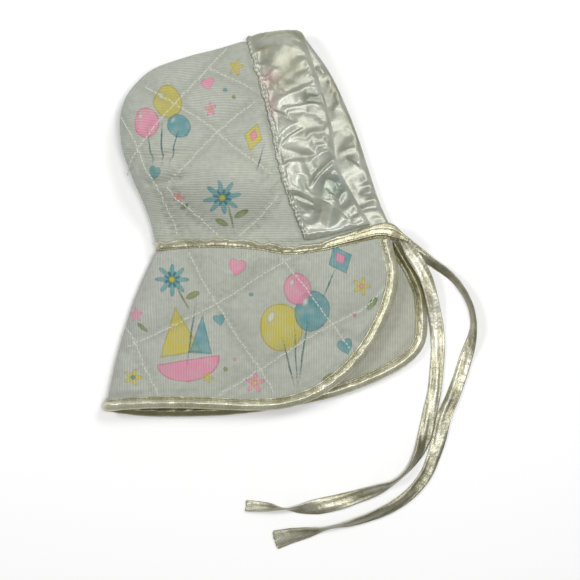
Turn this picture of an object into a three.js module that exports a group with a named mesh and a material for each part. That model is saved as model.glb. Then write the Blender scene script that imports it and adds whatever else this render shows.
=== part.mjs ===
// A quilted baby hood, lying folded flat on its left side: the crown, a satin band round the face,
// a cape below the neck, satin tape over the neck seam and round the cape, and two satin ties.
// Millimetres. +X points to the face, +Y to the top of the head, +Z up from the surface it lies on.
// The right half is on top; the left half lies on the surface and reaches further out at the front.
import * as THREE from "three";

const QUILT = 3; // cover, batting and lining stitched together
const SATIN = 1; // a turned layer of satin
const GAP = 0.3; // clearance between touching pieces
const SKIN = SATIN + GAP; // what a satin layer takes up outside the quilting
const INSET = SATIN + 2 * GAP; // from the outer edge of a folded tape to the quilting inside it
const BAND_WIDTH = 40; // satin band on the outside, from the face edge to its stitching
const BAND_TURN = 30; // satin band turned to the inside
const BAND_STEP = 10; // between its rows
const TAPE_WIDTH = 6.8; // seen width of the tape round the cape
const TAPE_INNER_EDGE = 0.94; // and about where it ends, from 0 at the neck line to 1 at the free edge
const TAPE_FRONT_START = 0.42; // where it starts on the front edges, clear of the neck tape and the ties
const SEAM_STANDOFF = 0.5; // from the quilting to the tape over the neck seam
const SEAM_HALF_GAP = 0.4; // from the neck line to the crown above it and the cape below it
const NAPE_X = -70; // where the neck line leaves one half and turns to the other
const NECK_TAPE_END = 88.5; // where the tape over the neck seam ends on the right half
const NECK_TAPE_FAR_END = 91; // and on the left half
const NAPE_FLARE = 0.4; // slope of the crown and the cape away from the neck line at the nape
const TIE_WIDTH = 9.4; // satin ribbon
const TIE_THICKNESS = 1.4;
const TIE_STEPS = 64;
const BAND_REACH = 0.977; // the band stops just above the tape over the neck seam
const CROWN_STEPS = 15; // from the neck line to the centre seam, shared with the band
const CAPE_STEPS = 36; // from the front edge to the fold, shared with the tape over the free edge
const NECK_CLIMB = [5, 55]; // the right half of the crown climbs to its crest between these heights
const FLOOR_CLIMB = [5, 13]; // the left half comes down to the surface over these
const FLOOR_LEVEL = [1, 1.35]; // and over these sections of the crown, next to the satin band
const CAPE_CLIMB = [5, 9]; // the right half of the cape keeps its height this near the neck and hem

const table = (names, rows) =>
  rows.map((row) => Object.fromEntries(names.map((name, i) => [name, row[i]])));

// The neck line at even steps of x, from the nape to past the face corner: y of each half,
// height of the right half, half width of the tape there.
const NECK_FROM = -72.4;
const NECK_TO = 101.6;
const NECK = table(["y", "farY", "z", "half"], [
  [-15.1, -15.6, 16, 2.9],
  [-13.4, -15.1, 17, 2.9],
  [-13.1, -15.1, 18, 2.9],
  [-14.4, -15.8, 18, 2.9],
  [-17.5, -16.8, 17, 2.9],
  [-15.1, -16.1, 15.5, 3.2],
  [-9.3, -13.1, 13.4, 4.2],
  [-4.9, -8, 12, 4.6],
  [-13, -10, 12, 3],
]);

// Crown sections from the face edge to the nape. Each runs from a foot on the neck line to a point
// of the centre seam: foot x of both halves, how far it follows the bow of the face edge,
// height of the right half at its fullest, height of the seam.
const CROWN = table(["topX", "topY", "footX", "farX", "bow", "crest", "fold"], [
  [22.8, 130, 74.5, 87, 1, 24, 11],
  [-13.3, 124.6, 28.6, 40.5, 0.45, 32, 13],
  [-37, 117.8, 11.2, 20.7, 0.2, 39, 15],
  [-60.2, 111, -5.8, 2.4, 0.1, 43, 17],
  [-79.2, 104, -20.7, -14, 0, 44, 18],
  [-93.5, 91.3, -34.3, -29, 0, 43, 18],
  [-101.7, 73, -45.2, -40.5, 0, 40, 17],
  [-101, 52, -54, -50, 0, 36, 15],
  [-95, 33.5, -60.9, -57.5, 0, 31, 13],
  [-86, 14.5, -65.6, -63, 0, 25, 11],
  [-79.5, 0, -68.7, -67, 0, 20, 9.5],
  [-74.8, -14.4, -70, -70, 0, 16, 8.65],
]);

// Bow of the face edge along x at even steps from the neck to the top of each half.
const FACE_BOW = table(["near", "far"], [
  [0, 0],
  [-6, -1],
  [-10, 2],
  [-5, 5],
  [-2, 6],
  [-1, 5],
  [0, 0],
]);

// Cape sections from the front edge to the fold at the centre back: x of both halves on the neck
// line, free edge of the right half with its height, free edge of the left half.
const CAPE = table(["neckX", "neckFarX", "x", "y", "z", "farX", "farY"], [
  [81.9, 87.4, 85.1, -19.9, 12, 92, -19.5],
  [71.7, 79.9, 87.8, -32.4, 12, 99.4, -32.8],
  [58.1, 69, 86.5, -45.7, 12, 106.5, -48.4],
  [44.5, 55.4, 80.8, -63, 12, 108.5, -65.2],
  [30.9, 41.1, 70.4, -82.5, 12, 107, -80.7],
  [17.3, 26.2, 55, -100.9, 12, 97.4, -93],
  [3.1, 10.5, 34.3, -116, 12, 77.9, -104.4],
  [-11.2, -5.8, 10.9, -123.6, 12.5, 50.9, -114.9],
  [-26.2, -22.1, -14.6, -124.6, 13.5, 17, -122.7],
  [-41.1, -38.4, -41.8, -122.9, 14.5, -19.6, -128],
  [-54.1, -52.7, -69, -121.9, 15.5, -55.4, -129.7],
  [-64.9, -64.3, -92.5, -122.3, 16, -86, -129.1],
  [-74.5, -74.5, -108.6, -124.2, 16, -108.6, -124.2],
]);
const CAPE_FOLD = new THREE.Vector3(-0.95, 0.31, 0); // outwards across the fold at the centre back
const CAPE_FOLD_HEIGHT = 8.65;
const CAPE_FOLD_TURN = 3.5; // the fold takes up one part in this many of the half
const FLOOR_FOLD_TURN = 2.2; // and of the left half of the crown, which lies flat sooner
const FOLD_SHOULDER = 1; // turn of the fold, in radians, where it starts to run into the flat half

// Routes of the ties from the ends of the neck tape to their free ends, [x, y, z].
const TIE_RIGHT = [
  [91.7, -8.6, 12.8], [95.7, -14.4, 11], [99.8, -20.6, 9.6], [104.3, -27.4, 8.4],
  [109.3, -36.4, 7.4], [112.4, -46, 6.2], [115, -56.5, 4], [117.3, -69, 1.6], [118.4, -82.8, 1.2],
  [117.7, -96.6, 1.2], [116, -113.9, 1.2], [112.9, -129.1, 1.2], [109.7, -144.3, 1.4],
  [105, -157.5, 2.7], [97.8, -168.6, 4], [88.3, -176.9, 4], [76.9, -182.4, 2.8], [63, -187.3, 1.3],
  [49.2, -191.4, 1.2], [34.7, -194.5, 1.3], [22.2, -195.9, 2.4], [11.2, -195.6, 3.2],
  [0.8, -194.5, 2.4], [-14.4, -193.8, 1.2],
];
const TIE_LEFT = [
  [94.6, -9.8, 1], [99.7, -14.3, 1], [106.7, -20.1, 1], [114.3, -25.7, 1], [121.9, -30.9, 1.6],
  [128.8, -36.7, 3], [134.3, -43.7, 3.7], [138.8, -51.6, 3.9], [141.6, -59.9, 3.9],
  [142.6, -69.6, 3.7], [140.9, -80, 2.2], [137.8, -91.1, 1.1], [133.6, -104.9, 1],
  [128.4, -118.7, 1], [122.6, -132.6, 1], [119.4, -146.4, 1], [115.2, -160.3, 1],
  [109.4, -173.4, 1.1], [99.7, -185.2, 1.5], [87.3, -194.2, 2.4], [72.7, -200.7, 3.2],
  [57.5, -205.6, 3.6], [43, -208.7, 3.3], [28.5, -212.2, 2.2], [16, -214.9, 1.2], [5.6, -217.7, 1],
];

const QUILTED_COTTON = { color: 0xd9dacb, roughness: 0.85, metalness: 0 };
const IVORY_SATIN = { color: 0xdedfcd, roughness: 0.35, metalness: 0 };
const CHAMPAGNE_SATIN = { color: 0xc9c8a0, roughness: 0.35, metalness: 0 };

// One column of a table as a smooth curve, t from 0 at the first row to 1 at the last.
function along(rows, column, t) {
  const last = rows.length - 1;
  const place = THREE.MathUtils.clamp(t, 0, 1) * last;
  const i = Math.min(Math.floor(place), last - 1);
  const f = place - i;
  const b = rows[i][column];
  const c = rows[i + 1][column];
  const a = i > 0 ? rows[i - 1][column] : 2 * b - c;
  const d = i + 2 > last ? 2 * c - b : rows[i + 2][column];
  return b + 0.5 * f * (c - a + f * (2 * a - 5 * b + 4 * c - d + f * (3 * b - a - 3 * c + d)));
}

const ramp = (value, from, to) => THREE.MathUtils.smoothstep(value, from, to);
const neck = (column, x) => along(NECK, column, (x - NECK_FROM) / (NECK_TO - NECK_FROM));

// A closed solid from a sheet: place(column, row, side) gives a point of its outer face at side 0
// and of its inner face at side 1, and walls close the four edges. Each cell is split along its
// shorter diagonal, so that sheets lying on each other bend in the same places.
function sheet(columns, rows, place) {
  const points = [];
  const faces = [];
  const at = (i, j, side) => (i * rows + j) * 2 + side;
  const apart = (a, b) => points[a].distanceTo(points[b]);
  const quad = (a, b, c, d) => {
    if (apart(a, c) < apart(b, d)) faces.push(a, b, c, a, c, d);
    else faces.push(a, b, d, b, c, d);
  };
  for (let i = 0; i < columns; i++)
    for (let j = 0; j < rows; j++)
      for (const side of [0, 1]) points.push(place(i, j, side));
  for (let i = 0; i + 1 < columns; i++) {
    for (let j = 0; j + 1 < rows; j++) {
      quad(at(i, j, 0), at(i + 1, j, 0), at(i + 1, j + 1, 0), at(i, j + 1, 0));
      quad(at(i, j, 1), at(i, j + 1, 1), at(i + 1, j + 1, 1), at(i + 1, j, 1));
    }
    quad(at(i, 0, 0), at(i, 0, 1), at(i + 1, 0, 1), at(i + 1, 0, 0));
    quad(at(i, rows - 1, 0), at(i + 1, rows - 1, 0), at(i + 1, rows - 1, 1), at(i, rows - 1, 1));
  }
  for (let j = 0; j + 1 < rows; j++) {
    quad(at(0, j, 0), at(0, j + 1, 0), at(0, j + 1, 1), at(0, j, 1));
    const end = columns - 1;
    quad(at(end, j, 0), at(end, j, 1), at(end, j + 1, 1), at(end, j + 1, 0));
  }
  if (signedVolume(points, faces) < 0) faces.reverse();
  return new THREE.BufferGeometry().setFromPoints(points).setIndex(faces);
}

// Six times the volume inside the faces, negative where they point inwards.
function signedVolume(points, faces) {
  let sum = 0;
  for (let k = 0; k < faces.length; k += 3)
    sum += points[faces[k]].dot(points[faces[k + 1]].clone().cross(points[faces[k + 2]]));
  return sum;
}

// A point of the crown: u from 0 at the face edge to 1 at the nape, s from -1 at the neck line of
// the right half over the centre seam at 0 to 1 at the neck line of the left half.
function crownPoint(u, s, depth) {
  const column = (name) => along(CROWN, name, u);
  const isFar = s > 0;
  const turn = (Math.abs(s) * Math.PI) / 2;
  const lie = isFar ? Math.min(turn * FLOOR_FOLD_TURN, Math.PI / 2) : turn;
  const up = Math.cos(turn);
  const top = new THREE.Vector2(column("topX"), column("topY"));
  const footOf = (x, y) => new THREE.Vector2(x, neck(y, x) + SEAM_HALF_GAP);
  const near = footOf(column("footX"), "y");
  const far = footOf(column("farX"), "farY");
  const foot = isFar ? far : near;
  const inwards = near.clone().lerp(far, 0.5).sub(top).normalize();
  const place = foot.clone().lerp(top, up);
  place.x += column("bow") * along(FACE_BOW, isFar ? "far" : "near", up);
  place.addScaledVector(inwards, depth * Math.cos(lie));
  const rise = up * foot.distanceTo(top);
  const seam = column("fold");
  const overBand = 1 - ramp(u * (CROWN.length - 1), ...FLOOR_LEVEL);
  const floor = SKIN * Math.max(overBand, 1 - ramp(rise, ...FLOOR_CLIMB));
  const high = THREE.MathUtils.lerp(neck("z", near.x), column("crest"), ramp(rise, ...NECK_CLIMB));
  const level = isFar ? floor + depth : high - depth;
  return new THREE.Vector3(place.x, place.y, seam + (level - seam) * Math.sin(lie));
}

// A point of the cape: t from -1 at the front edge of the right half over the fold at 0 to 1 at
// the front edge of the left half, a from 0 at the neck line to 1 at the free edge.
function capePoint(t, a, depth) {
  const turn = (Math.abs(t) * Math.PI) / 2;
  const lie = Math.min(turn * CAPE_FOLD_TURN, Math.PI / 2);
  const column = (name) => along(CAPE, name, Math.cos(turn));
  const isFar = t > 0;
  const neckX = column(isFar ? "neckFarX" : "neckX");
  const start = new THREE.Vector2(neckX, neck(isFar ? "farY" : "y", neckX) - SEAM_HALF_GAP);
  const end = new THREE.Vector2(column(isFar ? "farX" : "x"), column(isFar ? "farY" : "y"));
  const run = start.distanceTo(end);
  const place = start.clone().lerp(end, a);
  const [afterNeck, beforeHem] = CAPE_CLIMB;
  const climb = ramp(a * run, afterNeck, run - beforeHem);
  const high = THREE.MathUtils.lerp(neck("z", neckX), column("z"), climb);
  const level = isFar ? SKIN + depth : high - depth;
  return new THREE.Vector3(
    place.x - CAPE_FOLD.x * depth * Math.cos(lie),
    place.y - CAPE_FOLD.y * depth * Math.cos(lie),
    CAPE_FOLD_HEIGHT + (level - CAPE_FOLD_HEIGHT) * Math.sin(lie),
  );
}

// Places of the crown's rows from the neck line of the right half to that of the left.
function crownTurns(end) {
  const half = Array.from({ length: CROWN_STEPS }, (_, k) => k / CROWN_STEPS);
  half.push(BAND_REACH, 1);
  const kept = half.filter((s) => s <= end);
  return [...kept.slice(1).map((s) => -s).reverse(), ...kept];
}

// Even steps from the face edge to the far edge of the band.
function bandSteps(width) {
  return Array.from({ length: width / BAND_STEP }, (_, k) => (k + 1) * BAND_STEP);
}

const bandU = (across) => across / BAND_WIDTH / (CROWN.length - 1);

function crown() {
  const backSteps = 26;
  const columns = [INSET, ...bandSteps(BAND_WIDTH)].map(bandU);
  const back = columns.at(-1);
  for (let k = 1; k <= backSteps; k++) columns.push(THREE.MathUtils.lerp(back, 1, k / backSteps));
  const turns = crownTurns(1);
  return sheet(columns.length, turns.length, (i, j, side) =>
    crownPoint(columns[i], turns[j], side * QUILT),
  );
}

// Satin turned over an edge of the quilting, as points [distance in from the fold, depth] of its
// two faces, with a point at each given distance on the outside and on the inside.
function turnedOver(outside, inside) {
  const face = (skin, fold) => [
    ...outside.toReversed().map((across) => [across, -skin]),
    [SKIN, -skin],
    [fold, 0],
    [fold, QUILT],
    [SKIN, QUILT + skin],
    ...inside.map((across) => [across, QUILT + skin]),
  ];
  return [face(SKIN, 0), face(GAP, SATIN)];
}

function faceBand() {
  const section = turnedOver(bandSteps(BAND_WIDTH), bandSteps(BAND_TURN));
  const turns = crownTurns(BAND_REACH);
  return sheet(turns.length, section[0].length, (i, j, side) => {
    const [across, depth] = section[side][j];
    return crownPoint(bandU(across), turns[i], depth);
  });
}

function cape() {
  const evenRows = 7;
  const rows = Array.from({ length: evenRows }, (_, j) => j / evenRows);
  rows.push(TAPE_INNER_EDGE, 1);
  return sheet(2 * CAPE_STEPS + 1, rows.length, (i, j, side) =>
    capePoint(i / CAPE_STEPS - 1, rows[j], side * QUILT),
  );
}

// Adds to each station of a run the direction across it, square to the run and to its normal.
function withAcross(stations) {
  return stations.map((station, k) => {
    const before = stations[Math.max(k - 1, 0)].point;
    const after = stations[Math.min(k + 1, stations.length - 1)].point;
    return { ...station, across: after.clone().sub(before).cross(station.normal).normalize() };
  });
}

// The free edge of the cape: down the front of the right half, round the hem and up again. At the
// fold the way across the tape leans into line with the fold.
function capeEdge() {
  const sideSteps = 4;
  const stations = [];
  const add = (t, a) => {
    const lie = Math.min(Math.abs(t) * Math.PI * 0.5 * CAPE_FOLD_TURN, Math.PI / 2);
    const normal = CAPE_FOLD.clone().multiplyScalar(Math.cos(lie));
    normal.z = Math.sin(lie) * (t > 0 ? -1 : 1);
    const point = capePoint(t, a, 0);
    const towardsNeck = capePoint(t, TAPE_INNER_EDGE * a, 0).sub(point).normalize();
    const atFold = 1 - ramp(lie, FOLD_SHOULDER, Math.PI / 2);
    stations.push({ point, normal, towardsNeck, atFold });
  };
  const front = (k) => THREE.MathUtils.lerp(TAPE_FRONT_START, 1, k / sideSteps);
  for (let k = 0; k < sideSteps; k++) add(-1, front(k));
  for (let k = -CAPE_STEPS; k <= CAPE_STEPS; k++) add(k / CAPE_STEPS, 1);
  for (let k = sideSteps - 1; k >= 0; k--) add(1, front(k));
  return withAcross(stations);
}

function capeBinding() {
  const edge = capeEdge();
  const section = turnedOver([TAPE_WIDTH], [TAPE_WIDTH]);
  return sheet(edge.length, section[0].length, (i, j, side) => {
    const { point, normal, across, towardsNeck, atFold } = edge[i];
    const [inwards, depth] = section[side][j];
    return point
      .clone()
      .addScaledVector(across.clone().lerp(towardsNeck, atFold), inwards - INSET)
      .addScaledVector(normal, -depth);
  });
}

// The neck seam: along the right half to the nape, round it, and back along the left half. Each
// station gives the points of the seam at a height over the quilting.
function neckSeam() {
  const halfSteps = 26;
  const turnSteps = 10;
  const stations = [];
  const flat = (x, y, z, up) => ({
    point: new THREE.Vector3(x, y, z),
    normal: new THREE.Vector3(0, 0, up),
    half: neck("half", up > 0 ? x : NAPE_X),
    over: (height) => new THREE.Vector3(x, y, z + up * height),
    flare: 0,
  });
  for (let k = 0; k < halfSteps; k++) {
    const x = THREE.MathUtils.lerp(NECK_TAPE_END, NAPE_X, k / halfSteps);
    stations.push(flat(x, neck("y", x), neck("z", x), 1));
  }
  const napeY = neck("y", NAPE_X);
  for (let k = 0; k <= turnSteps; k++) {
    const s = (2 * k) / turnSteps - 1;
    const over = (height) => crownPoint(1, s, -height).setY(napeY);
    const point = over(0);
    const normal = over(1).sub(point);
    stations.push({ point, normal, half: neck("half", NAPE_X), over, flare: 1 - Math.abs(s) });
  }
  for (let k = 1; k <= halfSteps; k++) {
    const x = THREE.MathUtils.lerp(NAPE_X, NECK_TAPE_FAR_END, k / halfSteps);
    stations.push(flat(x, neck("farY", x), SKIN, -1));
  }
  return withAcross(stations);
}

function neckBinding() {
  const seam = neckSeam();
  const profile = [-1, -0.4, 0.4, 1]; // places across the tape, in half widths
  return sheet(seam.length, profile.length, (i, j, side) => {
    const { over, across, half, flare } = seam[i];
    const point = over(side ? SEAM_STANDOFF : SKIN).addScaledVector(across, profile[j] * half);
    point.x -= NAPE_FLARE * flare * half * Math.abs(profile[j]);
    return point;
  });
}

// A flat tie laid along its route, with its edges eased.
function tie(route) {
  const edge = TIE_WIDTH / 2;
  const face = TIE_THICKNESS / 2;
  const eased = edge - face;
  const corners = [[face, eased], [face / 2, edge], [-face / 2, edge], [-face, eased]];
  const outline = [...corners, ...corners.map(([x, y]) => [-x, -y])];
  const path = new THREE.CatmullRomCurve3(route.map((point) => new THREE.Vector3(...point)));
  const shape = new THREE.Shape(outline.map(([x, y]) => new THREE.Vector2(x, y)));
  return new THREE.ExtrudeGeometry(shape, { steps: TIE_STEPS, extrudePath: path });
}

const hood = new THREE.Group();
function add(name, geometry, finish) {
  const mesh = new THREE.Mesh(geometry, new THREE.MeshStandardMaterial(finish));
  mesh.name = name;
  hood.add(mesh);
}

add("crown", crown(), QUILTED_COTTON);
add("face_band", faceBand(), IVORY_SATIN);
add("cape", cape(), QUILTED_COTTON);
add("neck_binding", neckBinding(), CHAMPAGNE_SATIN);
add("cape_binding", capeBinding(), CHAMPAGNE_SATIN);
add("tie_right", tie(TIE_RIGHT), CHAMPAGNE_SATIN);
add("tie_left", tie(TIE_LEFT), CHAMPAGNE_SATIN);

export default hood;
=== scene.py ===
# A quilted baby hood with a satin face band, lying folded flat on its left side on a white table.
# Its forms are worked out in millimetres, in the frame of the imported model: +X to the face, +Y to the
# top of the head, +Z up from the table. They become metres when a form is made a mesh.
import math

import bpy
import numpy as np
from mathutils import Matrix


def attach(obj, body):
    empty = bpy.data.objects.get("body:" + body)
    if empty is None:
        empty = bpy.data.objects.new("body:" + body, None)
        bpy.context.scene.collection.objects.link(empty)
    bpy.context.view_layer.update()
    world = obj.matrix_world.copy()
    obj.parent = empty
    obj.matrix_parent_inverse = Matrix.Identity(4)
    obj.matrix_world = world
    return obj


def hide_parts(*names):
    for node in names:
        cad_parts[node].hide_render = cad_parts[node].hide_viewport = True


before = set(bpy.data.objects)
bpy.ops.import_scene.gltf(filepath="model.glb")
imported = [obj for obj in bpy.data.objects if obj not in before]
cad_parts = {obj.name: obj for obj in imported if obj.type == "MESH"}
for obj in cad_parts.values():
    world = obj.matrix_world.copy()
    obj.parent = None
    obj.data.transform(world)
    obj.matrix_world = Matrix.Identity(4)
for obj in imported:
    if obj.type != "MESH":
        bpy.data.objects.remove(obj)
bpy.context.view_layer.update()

# Table top, lamps and camera
# A white table, two soft boxes and a pale room. The camera looks straight down, as the photograph
# does, from where 580 pixels take in 394 mm at the middle of the hood's height.
MM = 0.001
TABLE_SIDE = 6.0
TABLE_WHITE = "#f6f6f4"
CAMERA_HEIGHT = 0.81
CAMERA_OVER = (0.016, -0.0447)
CAMERA_LENS = 72.6
CAMERA_SENSOR = 36.0
ROOM_COLOUR = "#eef1f5"
ROOM_STRENGTH = 0.32
LAMPS = [
    ("lamp_over", (0.22, -0.06, 1.15), 0.34, 6.0),
    ("lamp_right", (0.50, 0.55, 0.95), 0.40, 4.4),
    ("lamp_left", (-0.75, 0.20, 0.75), 0.34, 3.9),
]
LAMP_AIM = (0.0, -0.02, 0.02)


def linear(colour):
    """An sRGB colour "#rrggbb" as linear red, green, blue and a full alpha."""
    srgb = np.array([int(colour[k : k + 2], 16) for k in (1, 3, 5)]) / 255
    channels = np.where(srgb > 0.04045, ((srgb + 0.055) / 1.055) ** 2.4, srgb / 12.92)
    return (*channels.tolist(), 1.0)


def add(tree, kind, inputs=(), **settings):
    """Adds a node with its settings. Inputs maps its sockets to a value, to the output that feeds one, or
    to a node, whose first output feeds it."""
    made = tree.nodes.new(kind)
    for name, value in settings.items():
        setattr(made, name, value)
    for socket, value in dict(inputs).items():
        if isinstance(value, bpy.types.Node):
            value = value.outputs[0]
        if isinstance(value, bpy.types.NodeSocket):
            tree.links.new(value, made.inputs[socket])
        else:
            made.inputs[socket].default_value = value
    return made


def material(name, **finish):
    """A material whose shader sockets are named in finish, such as roughness=0.4 for Roughness."""
    made = bpy.data.materials.new(name)
    made.use_nodes = True
    shader = made.node_tree.nodes["Principled BSDF"]
    for socket, value in finish.items():
        shader.inputs[socket.replace("_", " ")].default_value = value
    return made, made.node_tree, shader


table_paint, _, _ = material("table_matt_white_paint", Base_Color=linear(TABLE_WHITE), Roughness=0.9)
table_mesh = bpy.data.meshes.new("table_top")
half = TABLE_SIDE / 2
corners = [(-half, -half, 0), (half, -half, 0), (half, half, 0), (-half, half, 0)]
table_mesh.from_pydata(corners, [], [(0, 1, 2, 3)])
table_mesh.materials.append(table_paint)
table_top = bpy.data.objects.new("table_top", table_mesh)
bpy.context.collection.objects.link(table_top)

room = bpy.data.worlds.new("pale_room")
room.use_nodes = True
room.node_tree.nodes["Background"].inputs["Color"].default_value = linear(ROOM_COLOUR)
room.node_tree.nodes["Background"].inputs["Strength"].default_value = ROOM_STRENGTH
bpy.context.scene.world = room
bpy.context.scene.view_settings.view_transform = "Standard"

for name, place, side, power in LAMPS:
    lamp = bpy.data.lights.new(name, "AREA")
    lamp.shape = "DISK"
    lamp.size = side
    lamp.energy = power
    stand = bpy.data.objects.new(name, lamp)
    bpy.context.collection.objects.link(stand)
    aim = np.array(LAMP_AIM) - np.array(place)
    stand.location = place
    tilt = math.acos(-aim[2] / np.linalg.norm(aim))
    stand.rotation_euler = (tilt, 0, math.atan2(aim[1], aim[0]) - math.pi / 2)

camera = bpy.data.cameras.new("camera")
camera.lens = CAMERA_LENS
camera.sensor_width = CAMERA_SENSOR
camera_stand = bpy.data.objects.new("camera", camera)
camera_stand.location = (*CAMERA_OVER, CAMERA_HEIGHT)
bpy.context.collection.objects.link(camera_stand)
bpy.context.scene.camera = camera_stand

# Ties
# Two lengths of satin bias tape, 9.4 mm wide and folded double, sewn into the ends of the neck tape.
# They lie loose on the table, turning on edge where they bend, and end in a raw cut.
TIE_WIDTH = 9.4
TIE_THICKNESS = 1.15
TIE_STEP = 0.8
TIE_ACROSS = 15
# x, y and z of the route in metres, turn about the route in degrees, width as a share of the whole, and
# the painted light and shade of the satin there, as a factor on its colour
TIE_RIGHT = np.array([
    (0.0917, -0.0086, 0.0128, 0, 0.4, 0.9), (0.0957, -0.0144, 0.0110, 0, 0.75, 0.95),
    (0.0998, -0.0206, 0.0096, 0, 1, 1), (0.1043, -0.0274, 0.0084, 0, 1, 1.05),
    (0.1093, -0.0364, 0.0074, 4, 0.96, 1.05), (0.1124, -0.0460, 0.0062, 0, 0.93, 1.1),
    (0.1150, -0.0565, 0.0040, 0, 0.94, 1.12), (0.1173, -0.0690, 0.0016, 0, 1, 1.12),
    (0.1184, -0.0828, 0.0012, 0, 1, 1.1), (0.1177, -0.0966, 0.0012, 0, 1, 1),
    (0.1160, -0.1139, 0.0012, 0, 1, 0.9), (0.1129, -0.1291, 0.0012, 0, 1.06, 0.75),
    (0.1097, -0.1443, 0.0014, 4, 1.08, 0.66), (0.1050, -0.1575, 0.0027, 34, 0.88, 0.64),
    (0.0978, -0.1686, 0.0040, 62, 0.7, 0.64), (0.0883, -0.1769, 0.0040, 62, 0.74, 0.68),
    (0.0769, -0.1824, 0.0028, 24, 0.9, 0.8), (0.0630, -0.1873, 0.0013, 4, 1, 0.82),
    (0.0492, -0.1914, 0.0012, 0, 1.14, 0.95), (0.0347, -0.1945, 0.0013, 6, 1.16, 0.85),
    (0.0222, -0.1959, 0.0024, 36, 0.85, 0.7), (0.0112, -0.1956, 0.0032, 90, 0.5, 0.75),
    (0.0008, -0.1945, 0.0024, 148, 0.68, 0.8), (-0.0144, -0.1938, 0.0012, 176, 0.84, 0.95),
])
TIE_LEFT = np.array([
    (0.0946, -0.0098, 0.0010, 0, 0.7, 0.6), (0.0997, -0.0143, 0.0010, 0, 0.75, 0.6),
    (0.1067, -0.0201, 0.0010, -12, 0.78, 0.62), (0.1143, -0.0257, 0.0010, -28, 0.74, 0.62),
    (0.1219, -0.0309, 0.0016, -40, 0.78, 0.6), (0.1288, -0.0367, 0.0030, -52, 0.78, 0.58),
    (0.1343, -0.0437, 0.0037, -60, 0.78, 0.58), (0.1388, -0.0516, 0.0039, -66, 0.78, 0.6),
    (0.1416, -0.0599, 0.0039, -68, 0.78, 0.65), (0.1426, -0.0696, 0.0037, -64, 0.8, 0.72),
    (0.1409, -0.0800, 0.0022, -40, 0.88, 0.82), (0.1378, -0.0911, 0.0011, -8, 0.95, 0.95),
    (0.1336, -0.1049, 0.0010, 0, 0.98, 1), (0.1284, -0.1187, 0.0010, 0, 1, 0.5),
    (0.1226, -0.1326, 0.0010, 0, 1.06, 0.95), (0.1194, -0.1464, 0.0010, 0, 1.06, 0.85),
    (0.1152, -0.1603, 0.0010, 0, 0.96, 0.78), (0.1094, -0.1734, 0.0011, 4, 0.92, 0.68),
    (0.0997, -0.1852, 0.0015, 10, 0.88, 0.64), (0.0873, -0.1942, 0.0024, 22, 0.85, 0.62),
    (0.0727, -0.2007, 0.0032, 36, 0.84, 0.62), (0.0575, -0.2056, 0.0036, 48, 0.8, 0.62),
    (0.0430, -0.2087, 0.0033, 62, 0.58, 0.66), (0.0285, -0.2122, 0.0022, 20, 0.86, 0.72),
    (0.0160, -0.2149, 0.0012, 6, 1.18, 0.8), (0.0056, -0.2177, 0.0010, 0, 1.42, 0.95),
])
# Heights of the long creases, the cross puckers, the sewn edge's pinches and its seam, and where they are
LONG_CREASE, CROSS_PUCKER, PINCH, SEAM_DEPTH = 0.34, 0.16, 0.07, 0.28
PINCH_PITCH, PINCH_AT, SEAM_AT = 2.7, 0.62, 0.66
# The satin's colours of painted shade and painted light, its roughness, and the colour of its painted glints
SATIN_SHADE = "#9f9b7c"
SATIN_LIGHT = "#c6c4ad"
SATIN_ROUGHNESS = 0.37
GLINT = "#f6f6f0"
# Sizes of the satin's patterns: clouds of painted shade and light, wrinkles, painted glints and its warp
# threads; and what makes a wave texture repeat once a metre
CLOUD_SIZE, WRINKLE_SIZE, GLINT_SIZE = 14.3, 2.4, 1.2
WARP_PITCH = 0.35
ONE_WAVE = 2 * math.pi / 20
# Settings of a Mix node that multiplies two colours
TIMES = {"data_type": "RGBA", "blend_type": "MULTIPLY"}
SATIN_METALLIC = 0.55
# Tints of the satin: painted shade in its hollows, painted highlight on its crests, and painted shade
# where it lies out of the light
WHITE = (1, 1, 1)
HOLLOW_SHADE = (0.62, 0.6, 0.48)
CREST_LIGHT = (1.14, 1.14, 1.15)
SHADED = (0.42, 0.4, 0.28)
# How much yellower the ties' painted shade turns, as powers on red, green and blue; the ties' own tint
DARKER_IS_YELLOWER = (1, 1.02, 1.2)
TIE_TINT = (0.95, 0.96, 1.04)
FRAY = 0.8


def along(rows, t):
    """The rows of a table as a smooth curve through them (uniform Catmull-Rom): t runs from 0 at the
    first row to 1 at the last. Past the ends the curve goes on straight."""
    rows = np.asarray(rows, float)
    rows = np.concatenate([2 * rows[:1] - rows[1:2], rows, 2 * rows[-1:] - rows[-2:-1]])
    place = np.clip(t, 0, 1) * (len(rows) - 3)
    i = np.minimum(place.astype(int), len(rows) - 4)
    f = place - i
    f = f.reshape(f.shape + (1,) * (rows.ndim - 1))
    a, b, c, d = (rows[i + k] for k in range(4))
    return b + 0.5 * f * (c - a + f * (2 * a - 5 * b + 4 * c - d + f * (3 * b - a - 3 * c + d)))


def waves(x, y, seed, count=14):
    """Smooth random waves of about -1 to 1 over x and y: a sum of cosines that run in random directions,
    each from 0.7 to 1.8 units long. Stretching x or y first makes the waves long one way."""
    dice = np.random.default_rng(seed)
    angle = dice.uniform(0, 2 * np.pi, count)
    turns = 2 * np.pi / dice.uniform(0.7, 1.8, count)
    phase = dice.uniform(0, 2 * np.pi, count)
    total = np.zeros(np.broadcast(x, y).shape)
    for a, k, p in zip(angle, turns, phase):
        total += np.cos(k * (x * np.cos(a) + y * np.sin(a)) + p)
    return total / math.sqrt(2 * count)


def ramp(value, low, high):
    """0 below low and 1 above high, with a smooth S between them."""
    t = np.clip((value - low) / (high - low), 0, 1)
    return t * t * (3 - 2 * t)


def unit(vectors):
    """The vectors at length 1."""
    return vectors / np.maximum(np.linalg.norm(vectors, axis=-1, keepdims=True), 1e-9)


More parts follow.
